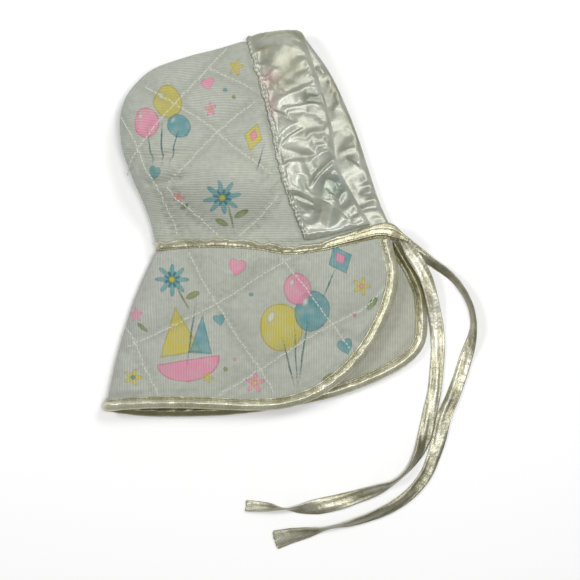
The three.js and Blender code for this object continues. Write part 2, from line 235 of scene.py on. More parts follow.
def bell(value, width):
    """A bell curve: 1 where the value is 0, and e to the minus (value / width) squared beside it."""
    return np.exp(-((value / width) ** 2))


def distances(points):
    """How far along a line each of its points is: the sum of the steps up to it."""
    return np.concatenate([[0], np.cumsum(np.linalg.norm(np.diff(points, axis=0), axis=1))])


def toned(low, high, amount):
    """Tints from low to high, each its red, green and blue, by an amount from 0 to 1."""
    return np.array(low) + (np.array(high) - low) * np.clip(amount, 0, 1)[..., None]


def piece(name, points, faces, uv, materials, slots=None, tint=None):
    """A mesh object from points in millimetres, quads, a UV place in millimetres for each point, the
    material number of each quad and the tint of each point, which its cloth's colour is multiplied by;
    the tint holds painted light and shade, and on the face band also print that shows through.
    Quads that enclose less than nothing are turned to face outwards."""
    points = points.reshape(-1, 3)
    a, b, c, d = (points[faces[:, k]] for k in range(4))
    if (a * (np.cross(b, c) + np.cross(c, d))).sum() < 0:
        faces = faces[:, ::-1]
    mesh = bpy.data.meshes.new(name)
    mesh.from_pydata(points * MM, [], faces)
    layer = mesh.uv_layers.new(name="cloth")
    corners = np.empty(len(mesh.loops), np.int32)
    mesh.loops.foreach_get("vertex_index", corners)
    layer.data.foreach_set("uv", (uv.reshape(-1, 2) * MM)[corners].ravel().astype(np.float32))
    tints = np.ones((len(points), 4), np.float32)
    if tint is not None:
        tints[:, :3] = tint.reshape(-1, 3)
    mesh.attributes.new("tint", "FLOAT_COLOR", "POINT").data.foreach_set("color", tints.ravel())
    mesh.polygons.foreach_set("use_smooth", np.ones(len(mesh.polygons), bool))
    for paint in materials:
        mesh.materials.append(paint)
    if slots is not None:
        mesh.polygons.foreach_set("material_index", slots.astype(np.int32))
    mesh.validate()
    made = bpy.data.objects.new(name, mesh)
    bpy.context.collection.objects.link(made)
    return made


def ring_faces(rings, points):
    """Quads of a tube of rings of points, with its two ends closed by strips across the ring."""
    i, j = np.meshgrid(np.arange(rings - 1), np.arange(points), indexing="ij")
    here, beside = i * points + j, i * points + (j + 1) % points
    sides = np.stack([here, here + points, beside + points, beside], -1)
    k = np.arange(points // 2 - 1)
    cap = np.stack([k, k + 1, points - 2 - k, points - 1 - k], -1)
    return np.concatenate([sides.reshape(-1, 4), cap, cap[:, ::-1] + (rings - 1) * points])


def fitted(made, node):
    """Puts a finished piece on the hood's body, in the place of its CAD node, which it hides."""
    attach(made, "root")
    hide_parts(node)
    return made


def satin(name, shade, light, metallic, roughness, crease, glint):
    """Polyester satin: a smooth warp-faced weave, whose long floats give the eye a soft, near metallic
    gloss. Its colour runs from painted shade to painted light over slow clouds, with painted glints in
    specks, times the piece's tint. Its fine threads and creases are a bump."""
    made, tree, shader = material(
        name, Metallic=metallic, Roughness=roughness, Specular_IOR_Level=0.8, Sheen_Weight=0.1,
        Anisotropic=0.3,
    )
    place = add(tree, "ShaderNodeTexCoord").outputs["UV"]
    # Clouds of painted shade and painted light
    cloud = add(tree, "ShaderNodeTexNoise", {"Vector": place, "Scale": 1 / (CLOUD_SIZE * MM), "Detail": 2.0})
    tone = add(tree, "ShaderNodeMapRange", {0: cloud, 1: 0.3, 2: 0.7})
    colour = add(tree, "ShaderNodeMix", {0: tone, 6: linear(shade), 7: linear(light)}, data_type="RGBA")
    # Painted glints: specks of near white
    speck = add(tree, "ShaderNodeTexNoise", {"Vector": place, "Scale": 1 / (GLINT_SIZE * MM), "Detail": 2.0})
    caught = add(tree, "ShaderNodeMapRange", {0: speck, 1: 0.52, 2: 0.62, 3: 0.0, 4: glint})
    colours = {0: caught, 6: colour.outputs[2], 7: linear(GLINT)}
    glinting = add(tree, "ShaderNodeMix", colours, data_type="RGBA")
    tint = add(tree, "ShaderNodeAttribute", attribute_name="tint")
    tinted = add(tree, "ShaderNodeMix", {0: 1.0, 6: glinting.outputs[2], 7: tint}, **TIMES)
    tree.links.new(tinted.outputs[2], shader.inputs["Base Color"])
    thread = add(
        tree, "ShaderNodeTexWave",
        {"Vector": place, "Scale": ONE_WAVE / (WARP_PITCH * MM), "Distortion": 1.5, "Detail": 2.0},
        bands_direction="Y",
    )
    wrinkle = add(
        tree, "ShaderNodeTexNoise",
        {"Vector": place, "Scale": 1 / (WRINKLE_SIZE * MM), "Detail": 3.0, "Roughness": 0.65},
    )
    fine = add(
        tree, "ShaderNodeBump", {"Height": thread.outputs["Fac"], "Strength": 0.12, "Distance": 0.05 * MM}
    )
    bump = add(
        tree, "ShaderNodeBump", {"Height": wrinkle, "Strength": crease, "Distance": 0.5 * MM, "Normal": fine}
    )
    tree.links.new(bump.outputs[0], shader.inputs["Normal"])
    return made


# Champagne satin: its painted shade and painted light, metallic, roughness, crease bump and painted glints
champagne_satin = satin(
    "champagne_satin_tape", SATIN_SHADE, SATIN_LIGHT, SATIN_METALLIC, SATIN_ROUGHNESS, 0.6, 0.22
)


def tie(name, node, table, seed):
    """A flat tube carried along its route. At each step it lies across the route, turned by the table's
    angle; its two faces are thickest in the middle and meet in round edges, and long creases, cross
    puckers and the sewn edge's pinches lift and lower it."""
    length = distances(table[:, :3])[-1] / MM
    steps = int(length / TIE_STEP)
    t = np.linspace(0, 1, steps)
    row = along(table, t)
    centre = row[:, :3] / MM
    ahead = unit(np.gradient(centre, axis=0))
    side = unit(np.cross(ahead, (0, 0, 1)))
    up = np.cross(side, ahead)
    turn = np.radians(row[:, 3])[:, None]
    across = np.cos(turn) * side + np.sin(turn) * up
    normal = np.cos(turn) * up - np.sin(turn) * side
    travelled = distances(centre)

    v = -np.cos(np.linspace(0, np.pi, TIE_ACROSS))
    v = np.concatenate([v, v[::-1]])
    face = np.repeat([1.0, -1.0], TIE_ACROSS)
    thick = 0.5 * TIE_THICKNESS * np.sqrt(np.maximum(1 - v**8, 0.06)) * face
    s, w = travelled[:, None], v[None, :]
    lengthwise = LONG_CREASE * waves(s / 40, w * 1.5, seed)
    cross = CROSS_PUCKER * waves(s / 9, w / 3 + s / 22, seed + 1)
    pinches = PINCH * np.sin(2 * np.pi * s / PINCH_PITCH + 2 * waves(s / 9, 0 * s, seed + 2))
    pinches = pinches * bell(w + PINCH_AT, 0.22)
    seam = -SEAM_DEPTH * bell(w + SEAM_AT, 0.07) * (face > 0)
    flatness = np.clip(np.abs(np.cos(turn)), 0.3, 1)
    lift = (lengthwise + cross) * flatness + pinches + seam * 0.7 + thick
    half_width = 0.5 * TIE_WIDTH * row[:, 4][:, None]
    points = centre[:, None] + across[:, None] * (half_width * w)[..., None]
    points = points + normal[:, None] * lift[..., None]
    fray = FRAY * waves(3.5 * w, s, seed + 3) * np.exp(-(travelled[-1] - s) / 1.2)
    points = points + ahead[:, None] * fray[..., None]
    points[..., 2] = np.maximum(points[..., 2], 0.06 + 0.05 * (face > 0))
    uv = np.stack(np.broadcast_arrays(s, w * TIE_WIDTH / 2 + 20 * (face < 0)), -1)
    # Painted shade in the tie's hollows and painted highlight on its crests, times the row's painted light
    # and shade, yellower where darker, and times the ties' own tint
    tint = toned(HOLLOW_SHADE, CREST_LIGHT, ramp(lengthwise + 0.8 * cross + pinches + seam, -0.42, 0.3))
    tint = tint * row[:, 5][:, None, None] ** np.array(DARKER_IS_YELLOWER) * TIE_TINT
    ribbon = piece(name, points, ring_faces(steps, 2 * TIE_ACROSS), uv, [champagne_satin], tint=tint)
    fitted(ribbon, node)


tie("satin_tie_right", "tie_right", TIE_RIGHT, 11)
tie("satin_tie_left", "tie_left", TIE_LEFT, 23)

# Crown
# A printed ribbed cotton cover, thin batting and a plain cream lining, sewn together in large diamonds
# and folded flat along the centre seam. The stitching pulls the cover in and puckers it.
QUILT = 3.0
SKIN = 1.3
UNDER_SATIN = 0.3
SEAM_HALF_GAP = 0.4
SATIN_BAND = 40.0
NECK_FROM, NECK_TO = -72.4, 101.6
# y of the neck line on the right half and on the left, height of the right, half width of the tape
NECK = np.array([
    (-15.1, -15.6, 16, 2.9), (-13.4, -15.1, 17, 2.9), (-13.1, -15.1, 18, 2.9), (-14.4, -15.8, 18, 2.9),
    (-17.5, -16.8, 17, 2.9), (-15.1, -16.1, 15.5, 3.2), (-9.3, -13.1, 13.4, 4.2), (-4.9, -8, 12, 4.6),
    (-13, -10, 12, 3),
])
# top x and y, foot x of the right half and of the left, bow, crest, height of the seam
CROWN = np.array([
    (24.6, 131.2, 74.5, 87, 1, 24, 11), (-13.3, 124.8, 28.6, 40.5, 0.45, 32, 13),
    (-37, 117.8, 11.2, 20.7, 0.2, 39, 15), (-60.2, 110.6, -5.8, 2.4, 0.1, 43, 17),
    (-78.4, 103.2, -20.7, -14, 0, 44, 18), (-91.6, 90.8, -34.3, -29, 0, 43, 18),
    (-98.8, 73, -45.2, -40.5, 0, 40, 17), (-97.8, 52, -54, -50, 0, 36, 15),
    (-91.8, 33.5, -60.9, -57.5, 0, 31, 13), (-83.4, 14.5, -65.6, -63, 0, 25, 11),
    (-78.2, 0, -68.7, -67, 0, 20, 9.5), (-74.2, -14.4, -70, -70, 0, 16, 8.65),
])
# bow of the face edge of the right half and of the left, from the neck to the top
FACE_BOW = np.array([(0, 1.5), (-6, 1.4), (-10, 4), (-5, 6.8), (-2, 8), (-1, 6.8), (0, 0)])
TOP_BOW, TOP_BOW_REACH = 1.9, 0.25
NECK_CLIMB = (5, 55)
FLOOR_CLIMB = (5, 13)
FLOOR_LEVEL = (1, 1.35)
FLOOR_FOLD_TURN = 2.2
LOWEST = 0.15
SIMULATED_SCALE = 10.0
WEIGHT_STEPS = 10
MOST_MOVED, MOST_SUNK = 3.5, -0.4
# Lines of stitching, as x and y seen from above
CROWN_LINES = [
    [(-26.4, 118.8), (-38.8, 103.9), (-48.6, 92.7), (-60.2, 79.1), (-72.4, 65.5), (-84, 50.5), (-97, 31)],
    [(-38.8, 103.9), (-20.1, 95.4), (-3.1, 87.2), (14, 79)],
    [(-96, 101), (-90, 97), (-72.4, 85.9), (-54.1, 75), (-36.7, 63.7), (-24.1, 52.2), (-11.2, 43),
     (3.7, 32.2), (18, 21)],
    [(8, 94), (-5.5, 82.5), (-20.7, 69.9), (-33.9, 57.5), (-43.9, 46.4), (-52.7, 37.2), (-64.9, 26)],
    [(-98, 72), (-88.7, 56.6), (-84.7, 47.8), (-78.9, 33.7), (-72.1, 23), (-67, 11.4), (-61.5, -2.8),
     (-59, -12)],
    [(-66, 24.7), (-59.7, 15.8), (-52.7, 10.5), (-35, -5.2), (-26, -13)],
    [(14, 25), (6.5, 16.5), (2.4, 11.4), (-5.5, 2.5), (-14.6, -4.6), (-23, -12)],
]
# Height and reach of the pillows between the lines, and of the puckers across them
PILLOW, PILLOW_REACH = 2.1, 8.0
PUCKER, PUCKER_PITCH, PUCKER_REACH, FURROW = 0.26, 4.2, 3.6, 1.1
SLOW_WAVE, QUICK_WAVE = 0.6, 0.12
# Painted shade on the rim of the fold and in the furrows beside the stitching
RIM_SHADE, FURROW_SHADE = (0.94, 0.92, 0.97), (0.91, 0.91, 0.9)
# Soft spots of painted light on the crown: middle, reach in x and y, tint
CROWN_PAINTED_LIGHT = [(2, 24, 36, 34, (1.13, 1.13, 1.13))]
# The simulated covers: slack, pressure, bending stiffness, frames
COVER_CLOTH = (0.012, 1.2, 3.0, 16)


def neck(x):
    """The row of the neck line at x."""
    return along(NECK, (x - NECK_FROM) / (NECK_TO - NECK_FROM))


def crown_form(u, s, depth):
    """Points of the folded crown: u from 0 at the face edge to 1 at the nape, s from -1 at the neck line
    of the right half over the centre seam at 0 to 1 at that of the left half. Seen from above, a point
    lies on the line from its foot to the top, a cosine of s along it. Its height is an arc: the seam's
    height, and a sine of s times what the half has over or under that. Depth is measured inwards."""
    u, s, depth = np.broadcast_arrays(u, s, depth)
    row = along(CROWN, u)
    top, near_x, far_x, bow, crest, fold = row[..., :2], *np.moveaxis(row[..., 2:], -1, 0)
    far = s > 0
    turn = np.abs(s) * np.pi / 2
    lie = np.where(far, np.minimum(turn * FLOOR_FOLD_TURN, np.pi / 2), turn)
    up = np.cos(turn)
    near = np.stack([near_x, neck(near_x)[..., 0] + SEAM_HALF_GAP], -1)
    left = np.stack([far_x, neck(far_x)[..., 1] + SEAM_HALF_GAP], -1)
    foot = np.where(far[..., None], left, near)
    inwards = unit((near + left) / 2 - top)
    place = foot + (top - foot) * up[..., None] + inwards * (depth * np.cos(lie))[..., None]
    face_bow = along(FACE_BOW, up)
    place[..., 0] += bow * np.where(far, face_bow[..., 1], face_bow[..., 0])
    over = np.clip(u * (len(CROWN) - 1), 0, 1)
    place[..., 1] += TOP_BOW * np.sin(np.pi * over) * bell(turn, TOP_BOW_REACH)
    rise = up * np.linalg.norm(top - foot, axis=-1)
    over_band = 1 - ramp(u * (len(CROWN) - 1), *FLOOR_LEVEL)
    floor = SKIN * np.maximum(over_band, 1 - ramp(rise, *FLOOR_CLIMB))
    neck_height = neck(near_x)[..., 2]
    high = neck_height + (crest - neck_height) * ramp(rise, *NECK_CLIMB)
    level = np.where(far, floor + depth, high - depth)
    return np.concatenate([place, (fold + (level - fold) * np.sin(lie))[..., None]], -1)


def evenly(form, ends, count):
    """Places between two ends of a line of points, so spaced that the points are even apart."""
    t = np.linspace(*ends, 300)
    gone = distances(form(t))
    return np.interp(np.linspace(0, gone[-1], count), gone, t)


def resampled(grid, columns, rows):
    """The same smooth surface with another number of columns and rows."""
    half = along(grid, np.linspace(0, 1, columns))
    return np.moveaxis(along(np.moveaxis(half, 1, 0), np.linspace(0, 1, rows)), 0, 1)


def billowed(rest, held, columns, rows, slack, pressure, bending, frames):
    """How far each point of a cover moves when it is cut larger than its place by the share slack, held
    where held is 1, and pressed outwards from below: a cloth simulation on a coarser grid, at ten times
    its real size, where the solver works best."""
    coarse = resampled(rest, columns, rows)
    hold = resampled(held[..., None], columns, rows)[..., 0]
    i, j = np.meshgrid(np.arange(columns - 1), np.arange(rows - 1), indexing="ij")
    here = i * rows + j
    quads = np.stack([here, here + rows, here + rows + 1, here + 1], -1).reshape(-1, 4)
    a, b, _, d = (coarse.reshape(-1, 3)[quads[:, k]] for k in range(4))
    if np.cross(b - a, d - a)[:, 2].sum() < 0:
        quads = quads[:, ::-1]
    mesh = bpy.data.meshes.new("cover")
    mesh.from_pydata(coarse.reshape(-1, 3) * SIMULATED_SCALE * MM, [], quads)
    cover = bpy.data.objects.new("cover", mesh)
    bpy.context.collection.objects.link(cover)
    group = cover.vertex_groups.new(name="held")
    for level in range(1, WEIGHT_STEPS + 1):
        members = np.flatnonzero(np.round(hold.ravel() * WEIGHT_STEPS) == level)
        group.add(members.tolist(), level / WEIGHT_STEPS, "REPLACE")
    cloth = cover.modifiers.new("cloth", "CLOTH")
    cloth.settings.quality = 6
    cloth.settings.mass = 0.2
    cloth.settings.tension_stiffness = 25
    cloth.settings.compression_stiffness = 25
    cloth.settings.shear_stiffness = 12
    cloth.settings.bending_stiffness = bending
    cloth.settings.use_pressure = True
    cloth.settings.uniform_pressure_force = pressure
    cloth.settings.shrink_min = -slack
    cloth.settings.vertex_group_mass = "held"
    cloth.settings.effector_weights.gravity = 0
    cloth.point_cache.frame_start = 1
    cloth.point_cache.frame_end = frames
    for frame_number in range(1, frames + 1):
        bpy.context.scene.frame_set(frame_number)
    done = cover.evaluated_get(bpy.context.evaluated_depsgraph_get())
    moved = np.empty(len(mesh.vertices) * 3, np.float32)
    done.data.vertices.foreach_get("co", moved)
    bpy.data.objects.remove(cover)
    bpy.data.meshes.remove(mesh)
    bpy.context.scene.frame_set(1)
    moved = moved.reshape(columns, rows, 3) / SIMULATED_SCALE / MM - coarse
    out = unit(np.cross(np.gradient(coarse, axis=0), np.gradient(coarse, axis=1)))
    out = out * np.sign(out[..., 2].sum())
    outwards = (moved * out).sum(-1, keepdims=True)
    moved = moved + out * (np.clip(outwards, MOST_SUNK, MOST_MOVED) - outwards)
    return resampled(moved, *rest.shape[:2])


def to_lines(lines, x, y):
    """Distance from each place to the nearest of the lines, which are smoothed first, and how far along
    the line its nearest point is."""
    best = np.full(np.shape(x), 1e9)
    gone = np.zeros(np.shape(x))
    for line in lines:
        course = along(line, np.linspace(0, 1, 6 * len(line)))
        start = 0.0
        for (ax, ay), (bx, by) in zip(course[:-1], course[1:]):
            length = math.hypot(bx - ax, by - ay)
            cut = np.clip(((x - ax) * (bx - ax) + (y - ay) * (by - ay)) / length**2, 0, 1)
            away = np.hypot(x - ax - cut * (bx - ax), y - ay - cut * (by - ay))
            nearer = away < best
            gone = np.where(nearer, start + cut * length, gone)
            best = np.where(nearer, away, best)
            start += length
    return best, gone


def quilted(lines, x, y, seed):
    """How far the cover stands out over x and y: pillows that rise from the stitching on a bell curve,
    short puckers across it that fade within 6 mm, and slow and quicker waves between."""
    away, gone = to_lines(lines, x, y)
    pillow = PILLOW * (1 - bell(away, PILLOW_REACH))
    thread = np.sin(2 * np.pi * gone / PUCKER_PITCH + 2.2 * waves(x / 16, y / 16, seed))
    pucker = PUCKER * thread * bell(away, PUCKER_REACH) * (1 - bell(away, FURROW))
    slow = SLOW_WAVE * waves(x / 34, y / 34, seed + 1) + QUICK_WAVE * waves(x / 10, y / 10, seed + 2)
    return pillow + pucker + slow * (1 - bell(away, 7))


def spotted(spots, x, y):
    """Tints over x and y: each spot's own in its middle, fading to white on a bell curve."""
    tint = np.ones((*np.shape(x), 3))
    for at_x, at_y, reach_x, reach_y, own in spots:
        tint = tint * toned(WHITE, own, bell(x - at_x, reach_x) * bell(y - at_y, reach_y))
    return tint


def quilting_shade(away, rim):
    """Painted shade on the quilting: greyer in the furrows beside the stitching and on the rim of the fold.
    """
    return toned(WHITE, RIM_SHADE, rim) * toned(WHITE, FURROW_SHADE, bell(away - 2.4, 2.0))


def shell(outer, inner):
    """Rings of points from the two faces of a sheet, outer face first, for ring_faces."""
    return np.concatenate([outer, inner[:, ::-1]], axis=1)


def two_faced(name, outer, inner, uv, materials, tint):
    """A piece from the two faces of a sheet, given as grids of points that run the same way. A second
    material is the inner face's, which then has no tint."""
    columns, rows = outer.shape[:2]
    slots, inner_tint = None, tint
    if len(materials) > 1:
        ring = np.zeros(2 * rows, int)
        ring[rows : 2 * rows - 1] = 1
        slots = np.concatenate([np.tile(ring, columns - 1), np.zeros(2 * (rows - 1), int)])
        inner_tint = np.ones(tint.shape)
    tints = shell(tint, inner_tint)
    faces = ring_faces(columns, 2 * rows)
    return piece(name, shell(outer, inner), faces, shell(uv, uv), materials, slots, tints)


# Steps of arithmetic from x, y and the radius to how far inside its outline a motif's place is
TO_RADIUS = [
    ("xx", "MULTIPLY", "x", "x"), ("sum", "MULTIPLY_ADD", "y", "y", "xx"), ("radius", "SQRT", "sum"),
]
SHAPES = {
    "round": [("inside", "SUBTRACT", 1.0, "radius")],
    "bowl": [
        ("disc", "SUBTRACT", 1.0, "radius"), ("under", "MULTIPLY", "y", -1.0),
        ("inside", "MINIMUM", "disc", "under"),
    ],
    "sail": [
        ("side", "ABSOLUTE", "x"), ("slope", "MULTIPLY_ADD", "y", -0.5, 0.5),
        ("flank", "SUBTRACT", "slope", "side"), ("foot", "ADD", "y", 1.0),
        ("inside", "MINIMUM", "flank", "foot"),
    ],
    "kite": [
        ("side", "ABSOLUTE", "x"), ("upright", "ABSOLUTE", "y"), ("both", "ADD", "side", "upright"),
        ("inside", "SUBTRACT", 1.0, "both"),
    ],
    "heart": [
        ("side", "ABSOLUTE", "x"), ("lobe", "SQRT", "side"), ("tall", "MULTIPLY_ADD", "y", 1.15, 0.15),
        ("bent", "MULTIPLY_ADD", "lobe", -0.72, "tall"), ("wide", "MULTIPLY", "x", "x"),
        ("square", "MULTIPLY_ADD", "bent", "bent", "wide"), ("inside", "SUBTRACT", 0.8, "square"),
    ],
    "petals": [
        ("angle", "ARCTAN2", "y", "x"), ("turns", "MULTIPLY", "angle", "number"),
        ("lobe", "COSINE", "turns"), ("edge", "MULTIPLY_ADD", "lobe", 0.3, 0.7),
        ("inside", "SUBTRACT", "edge", "radius"),
    ],
}


def motif(tree, place, kind, x, y, wide, high, turn):
    """How far inside a printed motif each place is, 0 at its outline. The place is turned and scaled so
    that the motif fits a circle of radius 1. A round is 1 less the radius, a flower's radius follows
    the cosine of its petals, a kite takes the sum of |x| and |y|, and a heart bends y by the root of |x|."""
    own = add(
        tree,
        "ShaderNodeMapping",
        {"Vector": place, "Location": (x * MM, y * MM, 0), "Rotation": (0, 0, math.radians(turn)),
         "Scale": (wide / 2 * MM, high / 2 * MM, 1)},
        vector_type="TEXTURE",
    )
    parts = add(tree, "ShaderNodeSeparateXYZ", {0: own})
    shape, _, number = kind.partition("_")
    known = {"x": parts.outputs[0], "y": parts.outputs[1], "number": float(number or 0)}
    for result, operation, *terms in TO_RADIUS + SHAPES[shape]:
        values = {k: known.get(term, term) for k, term in enumerate(terms)}
        known[result] = add(tree, "ShaderNodeMath", values, operation=operation)
    return known["inside"]


# Sizes of the cloth's patterns. The ribs of the real cloth are 0.8 mm apart: they are drawn at 1.7 mm, as
# coarse as they need to be to show.
RIB_PITCH = 1.7
MOTTLE_SIZE, FRAYED_SIZE, THIN_INK_SIZE, PATCH_SIZE, WEAVE_SIZE = 3.8, 1.4, 6.2, 33.0, 0.7


def printed_cotton(name, rib_turn, ground, motifs):
    """Ribbed cotton with a nursery print, matt to the eye: fine ribs with painted highlights along them in
    patches, a faintly mottled tone, the motifs in thin ink with a darker outline, all times the piece's
    tint."""
    made, tree, shader = material(name, Roughness=0.78, Specular_IOR_Level=0.35, Sheen_Weight=0.12)
    place = add(tree, "ShaderNodeTexCoord").outputs["UV"]
    blur = add(tree, "ShaderNodeTexNoise", {"Vector": place, "Scale": 1 / (MOTTLE_SIZE * MM), "Detail": 3.0})
    tone = add(tree, "ShaderNodeMapRange", {0: blur, 1: 0.3, 2: 0.7, 3: 0.92, 4: 1.06})
    colour = add(tree, "ShaderNodeMix", {0: 1.0, 6: linear(ground), 7: tone}, **TIMES).outputs[2]
    frayed = add(
        tree, "ShaderNodeTexNoise", {"Vector": place, "Scale": 1 / (FRAYED_SIZE * MM), "Detail": 2.0}
    )
    thin = add(
        tree, "ShaderNodeTexNoise", {"Vector": place, "Scale": 1 / (THIN_INK_SIZE * MM), "Detail": 4.0}
    )
    cover = add(tree, "ShaderNodeMapRange", {0: thin, 1: 0.3, 2: 0.65, 3: 0.62, 4: 1.0})
    for kind, x, y, wide, high, turn, ink in motifs:
        edge = 1 / min(wide, high)
        shape = motif(tree, place, kind, x, y, wide, high, turn)
        rough = add(tree, "ShaderNodeMapRange", {0: frayed, 3: -edge, 4: edge})
        inside = add(tree, "ShaderNodeMath", {0: shape, 1: rough}, operation="ADD")
        body = add(tree, "ShaderNodeMapRange", {0: inside, 1: -edge / 2, 2: edge / 2, 3: 0.0, 4: 0.88})
        rim = add(tree, "ShaderNodeMapRange", {0: inside, 1: edge, 2: 2 * edge, 3: 0.66, 4: 1.0})
        dark = add(tree, "ShaderNodeMix", {0: 1.0, 6: linear(ink), 7: rim}, **TIMES)
        inked = add(tree, "ShaderNodeMath", {0: body, 1: cover}, operation="MULTIPLY")
        laid = add(tree, "ShaderNodeMix", {0: inked, 6: colour, 7: dark.outputs[2]}, data_type="RGBA")
        colour = laid.outputs[2]
    turned = add(tree, "ShaderNodeMapping", {"Vector": place, "Rotation": (0, 0, math.radians(rib_turn))})
    ribs = add(
        tree, "ShaderNodeTexWave",
        {"Vector": turned, "Scale": ONE_WAVE / (RIB_PITCH * MM), "Distortion": 0.9, "Detail": 2.0,
         "Detail Scale": 1.5},
        bands_direction="Y",
    )
    # Painted highlights along the tops of the ribs, strongest in patches
    patches = add(
        tree, "ShaderNodeTexNoise", {"Vector": place, "Scale": 1 / (PATCH_SIZE * MM), "Detail": 1.0}
    )
    shown = add(tree, "ShaderNodeMapRange", {0: patches, 1: 0.35, 2: 0.6, 3: 0.3, 4: 1.0})
    sharp = add(tree, "ShaderNodeMath", {0: ribs.outputs["Fac"], 1: 2.0}, operation="POWER")
    lighter = add(tree, "ShaderNodeMath", {0: sharp, 1: shown}, operation="MULTIPLY")
    rib_highlight = add(tree, "ShaderNodeMath", {0: lighter, 1: 0.22, 2: 0.94}, operation="MULTIPLY_ADD")
    tint = add(tree, "ShaderNodeAttribute", attribute_name="tint")
    for factor in (rib_highlight, tint):
        colour = add(tree, "ShaderNodeMix", {0: 1.0, 6: colour, 7: factor}, **TIMES).outputs[2]
    tree.links.new(colour, shader.inputs["Base Color"])
    weave = add(tree, "ShaderNodeTexNoise", {"Vector": place, "Scale": 1 / (WEAVE_SIZE * MM), "Detail": 2.0})
    fine = add(tree, "ShaderNodeBump", {"Height": weave, "Strength": 0.35, "Distance": 0.12 * MM})
    bump = add(
        tree, "ShaderNodeBump",
        {"Height": ribs.outputs["Fac"], "Strength": 0.6, "Distance": 0.22 * MM, "Normal": fine},
    )
    tree.links.new(bump.outputs[0], shader.inputs["Normal"])
    return made


YELLOW, TEAL, DEEP_TEAL, PINK, GREEN, PALE = "#b2a637", "#46848a", "#2f6468", "#ca7c95", "#6f8044", "#b9bbae"
CROWN_PRINT = [
    ("round", -68, 86, 19, 23, 20, YELLOW), ("round", -82, 71, 17, 20, -8, PINK),
    ("round", -60, 69, 15, 18, 35, TEAL), ("round", -73, 91, 3.4, 6, -30, PALE),
    ("round", -86, 75, 3, 5, -30, PALE), ("round", -64, 73, 2.6, 4.6, -20, PALE),
    ("round", -71, 57, 1.2, 24, 3, DEEP_TEAL), ("round", -63, 54, 1.0, 20, -14, DEEP_TEAL),
    ("round", -79, 53, 1.0, 20, 12, DEEP_TEAL), ("petals_8", -30, 20, 26, 26, 10, TEAL),
    ("petals_8", -30, 20, 14, 14, 32, DEEP_TEAL), ("round", -30, 20, 5, 5, 0, YELLOW),
    ("round", -24, 5, 1.4, 18, 12, GREEN), ("round", -17, 8, 11, 4.4, 35, GREEN),
    ("round", -30, 1, 10, 4, -30, GREEN), ("heart", -40, 97, 11, 11, 15, PINK),
    ("petals_5", -21, 108, 11, 11, 0, YELLOW), ("petals_5", -38, 80, 9, 9, 20, PINK),
    ("round", -38, 80, 2.6, 2.6, 0, YELLOW), ("round", -28, 92, 3, 3, 0, TEAL),
    ("round", -22, 87, 2.6, 2.6, 0, GREEN), ("heart", -76, 36, 9, 9, -20, TEAL),
    ("kite", -8, 60, 14, 18, -18, YELLOW), ("kite", -8, 61, 6, 8, -18, PINK),
    ("round", -3, 46, 1.0, 14, -20, DEEP_TEAL), ("petals_5", -60, 20, 9, 9, 0, PINK),
    ("round", -60, 20, 2.6, 2.6, 0, YELLOW), ("round", -56, 13, 7, 3, 40, GREEN),
]
LINING = "#a3a495"
COTTON = "#a4a79b"

crown_cotton = printed_cotton("printed_ribbed_cotton_crown", 0, COTTON, CROWN_PRINT)
plain_lining = printed_cotton("plain_cream_cotton_lining", 0, LINING, [])

CROWN_COLUMNS, CROWN_NEAR_ROWS, CROWN_FAR_ROWS = 200, 170, 60
EDGE_UNDER_BAND = 1.6 / SATIN_BAND / (len(CROWN) - 1)
GATHER, GATHER_PITCH = 0.35, 5.2
# Two dents at the back of the crown: depth, y of each, half width, slope
DENT, DENTS_AT, DENT_WIDTH, DENT_SLOPE = 2.8, (43.7, 28), 2.8, 0.12

u = np.linspace(EDGE_UNDER_BAND, 1, CROWN_COLUMNS)[:, None]
near_s = evenly(lambda s: crown_form(0.45, s, 0.0), (-1, 0), CROWN_NEAR_ROWS)
far_s = evenly(lambda s: crown_form(0.45, s, 0.0), (0.0001, 1), CROWN_FAR_ROWS)
s = np.concatenate([near_s, far_s[1:]])[None, :]
flat = crown_form(u, s, 0.0)
steps = np.linalg.norm(np.diff(flat, axis=1), axis=2)
gone = np.concatenate([np.zeros((CROWN_COLUMNS, 1)), np.cumsum(steps, axis=1)], axis=1)
from_foot = np.where(s <= 0, gone, 2 * gone[:, CROWN_NEAR_ROWS - 1 :][:, :1] - gone)
top = crown_form(u, 0.0, 0.0)[..., :2]
foot = flat[:, :1, :2]
top_way = unit(top - foot)
uv = foot + top_way * from_foot[..., None]
x, y = flat[..., 0], flat[..., 1]
past_band = ramp(u * (len(CROWN) - 1), 1.0, 1.12)
past_neck = ramp(np.minimum(gone, gone[:, -1:] - gone), 2.5, 9)
gathers = GATHER * np.sin(2 * np.pi * x / GATHER_PITCH + 1.5 * waves(x / 20, y / 20, 5))
gathers = gathers * np.exp(-np.maximum(gone - 4, 0) / 9)
dents = -DENT * sum(bell(y - at - DENT_SLOPE * (x + 67), DENT_WIDTH) for at in DENTS_AT)
dents = dents * ramp(x, -86, -76) * (1 - ramp(x, -60, -44))
at_fold = 0.25 + 0.75 * ramp(np.abs(s), 0.02, 0.2)
out = quilted(CROWN_LINES, x, y, 3) + gathers * ramp(gone, 2.5, 5) + dents
out = out * past_band * past_neck * at_fold
outer = crown_form(u, s, UNDER_SATIN * (1 - past_band) - out)
away, _ = to_lines(CROWN_LINES, x, y)
held = np.maximum(bell(away, 1.5), 1 - past_band * past_neck)
held = np.maximum(held, 1 - ramp(-s, 0.04, 0.4))
outer = outer + billowed(outer, held, 120, 130, *COVER_CLOTH)
outer[..., 2] = np.maximum(outer[..., 2], LOWEST)
crown_cover = outer[:, :CROWN_NEAR_ROWS]
inner = crown_form(u, s, QUILT + 0.5 * (1 - bell(away, 9)))
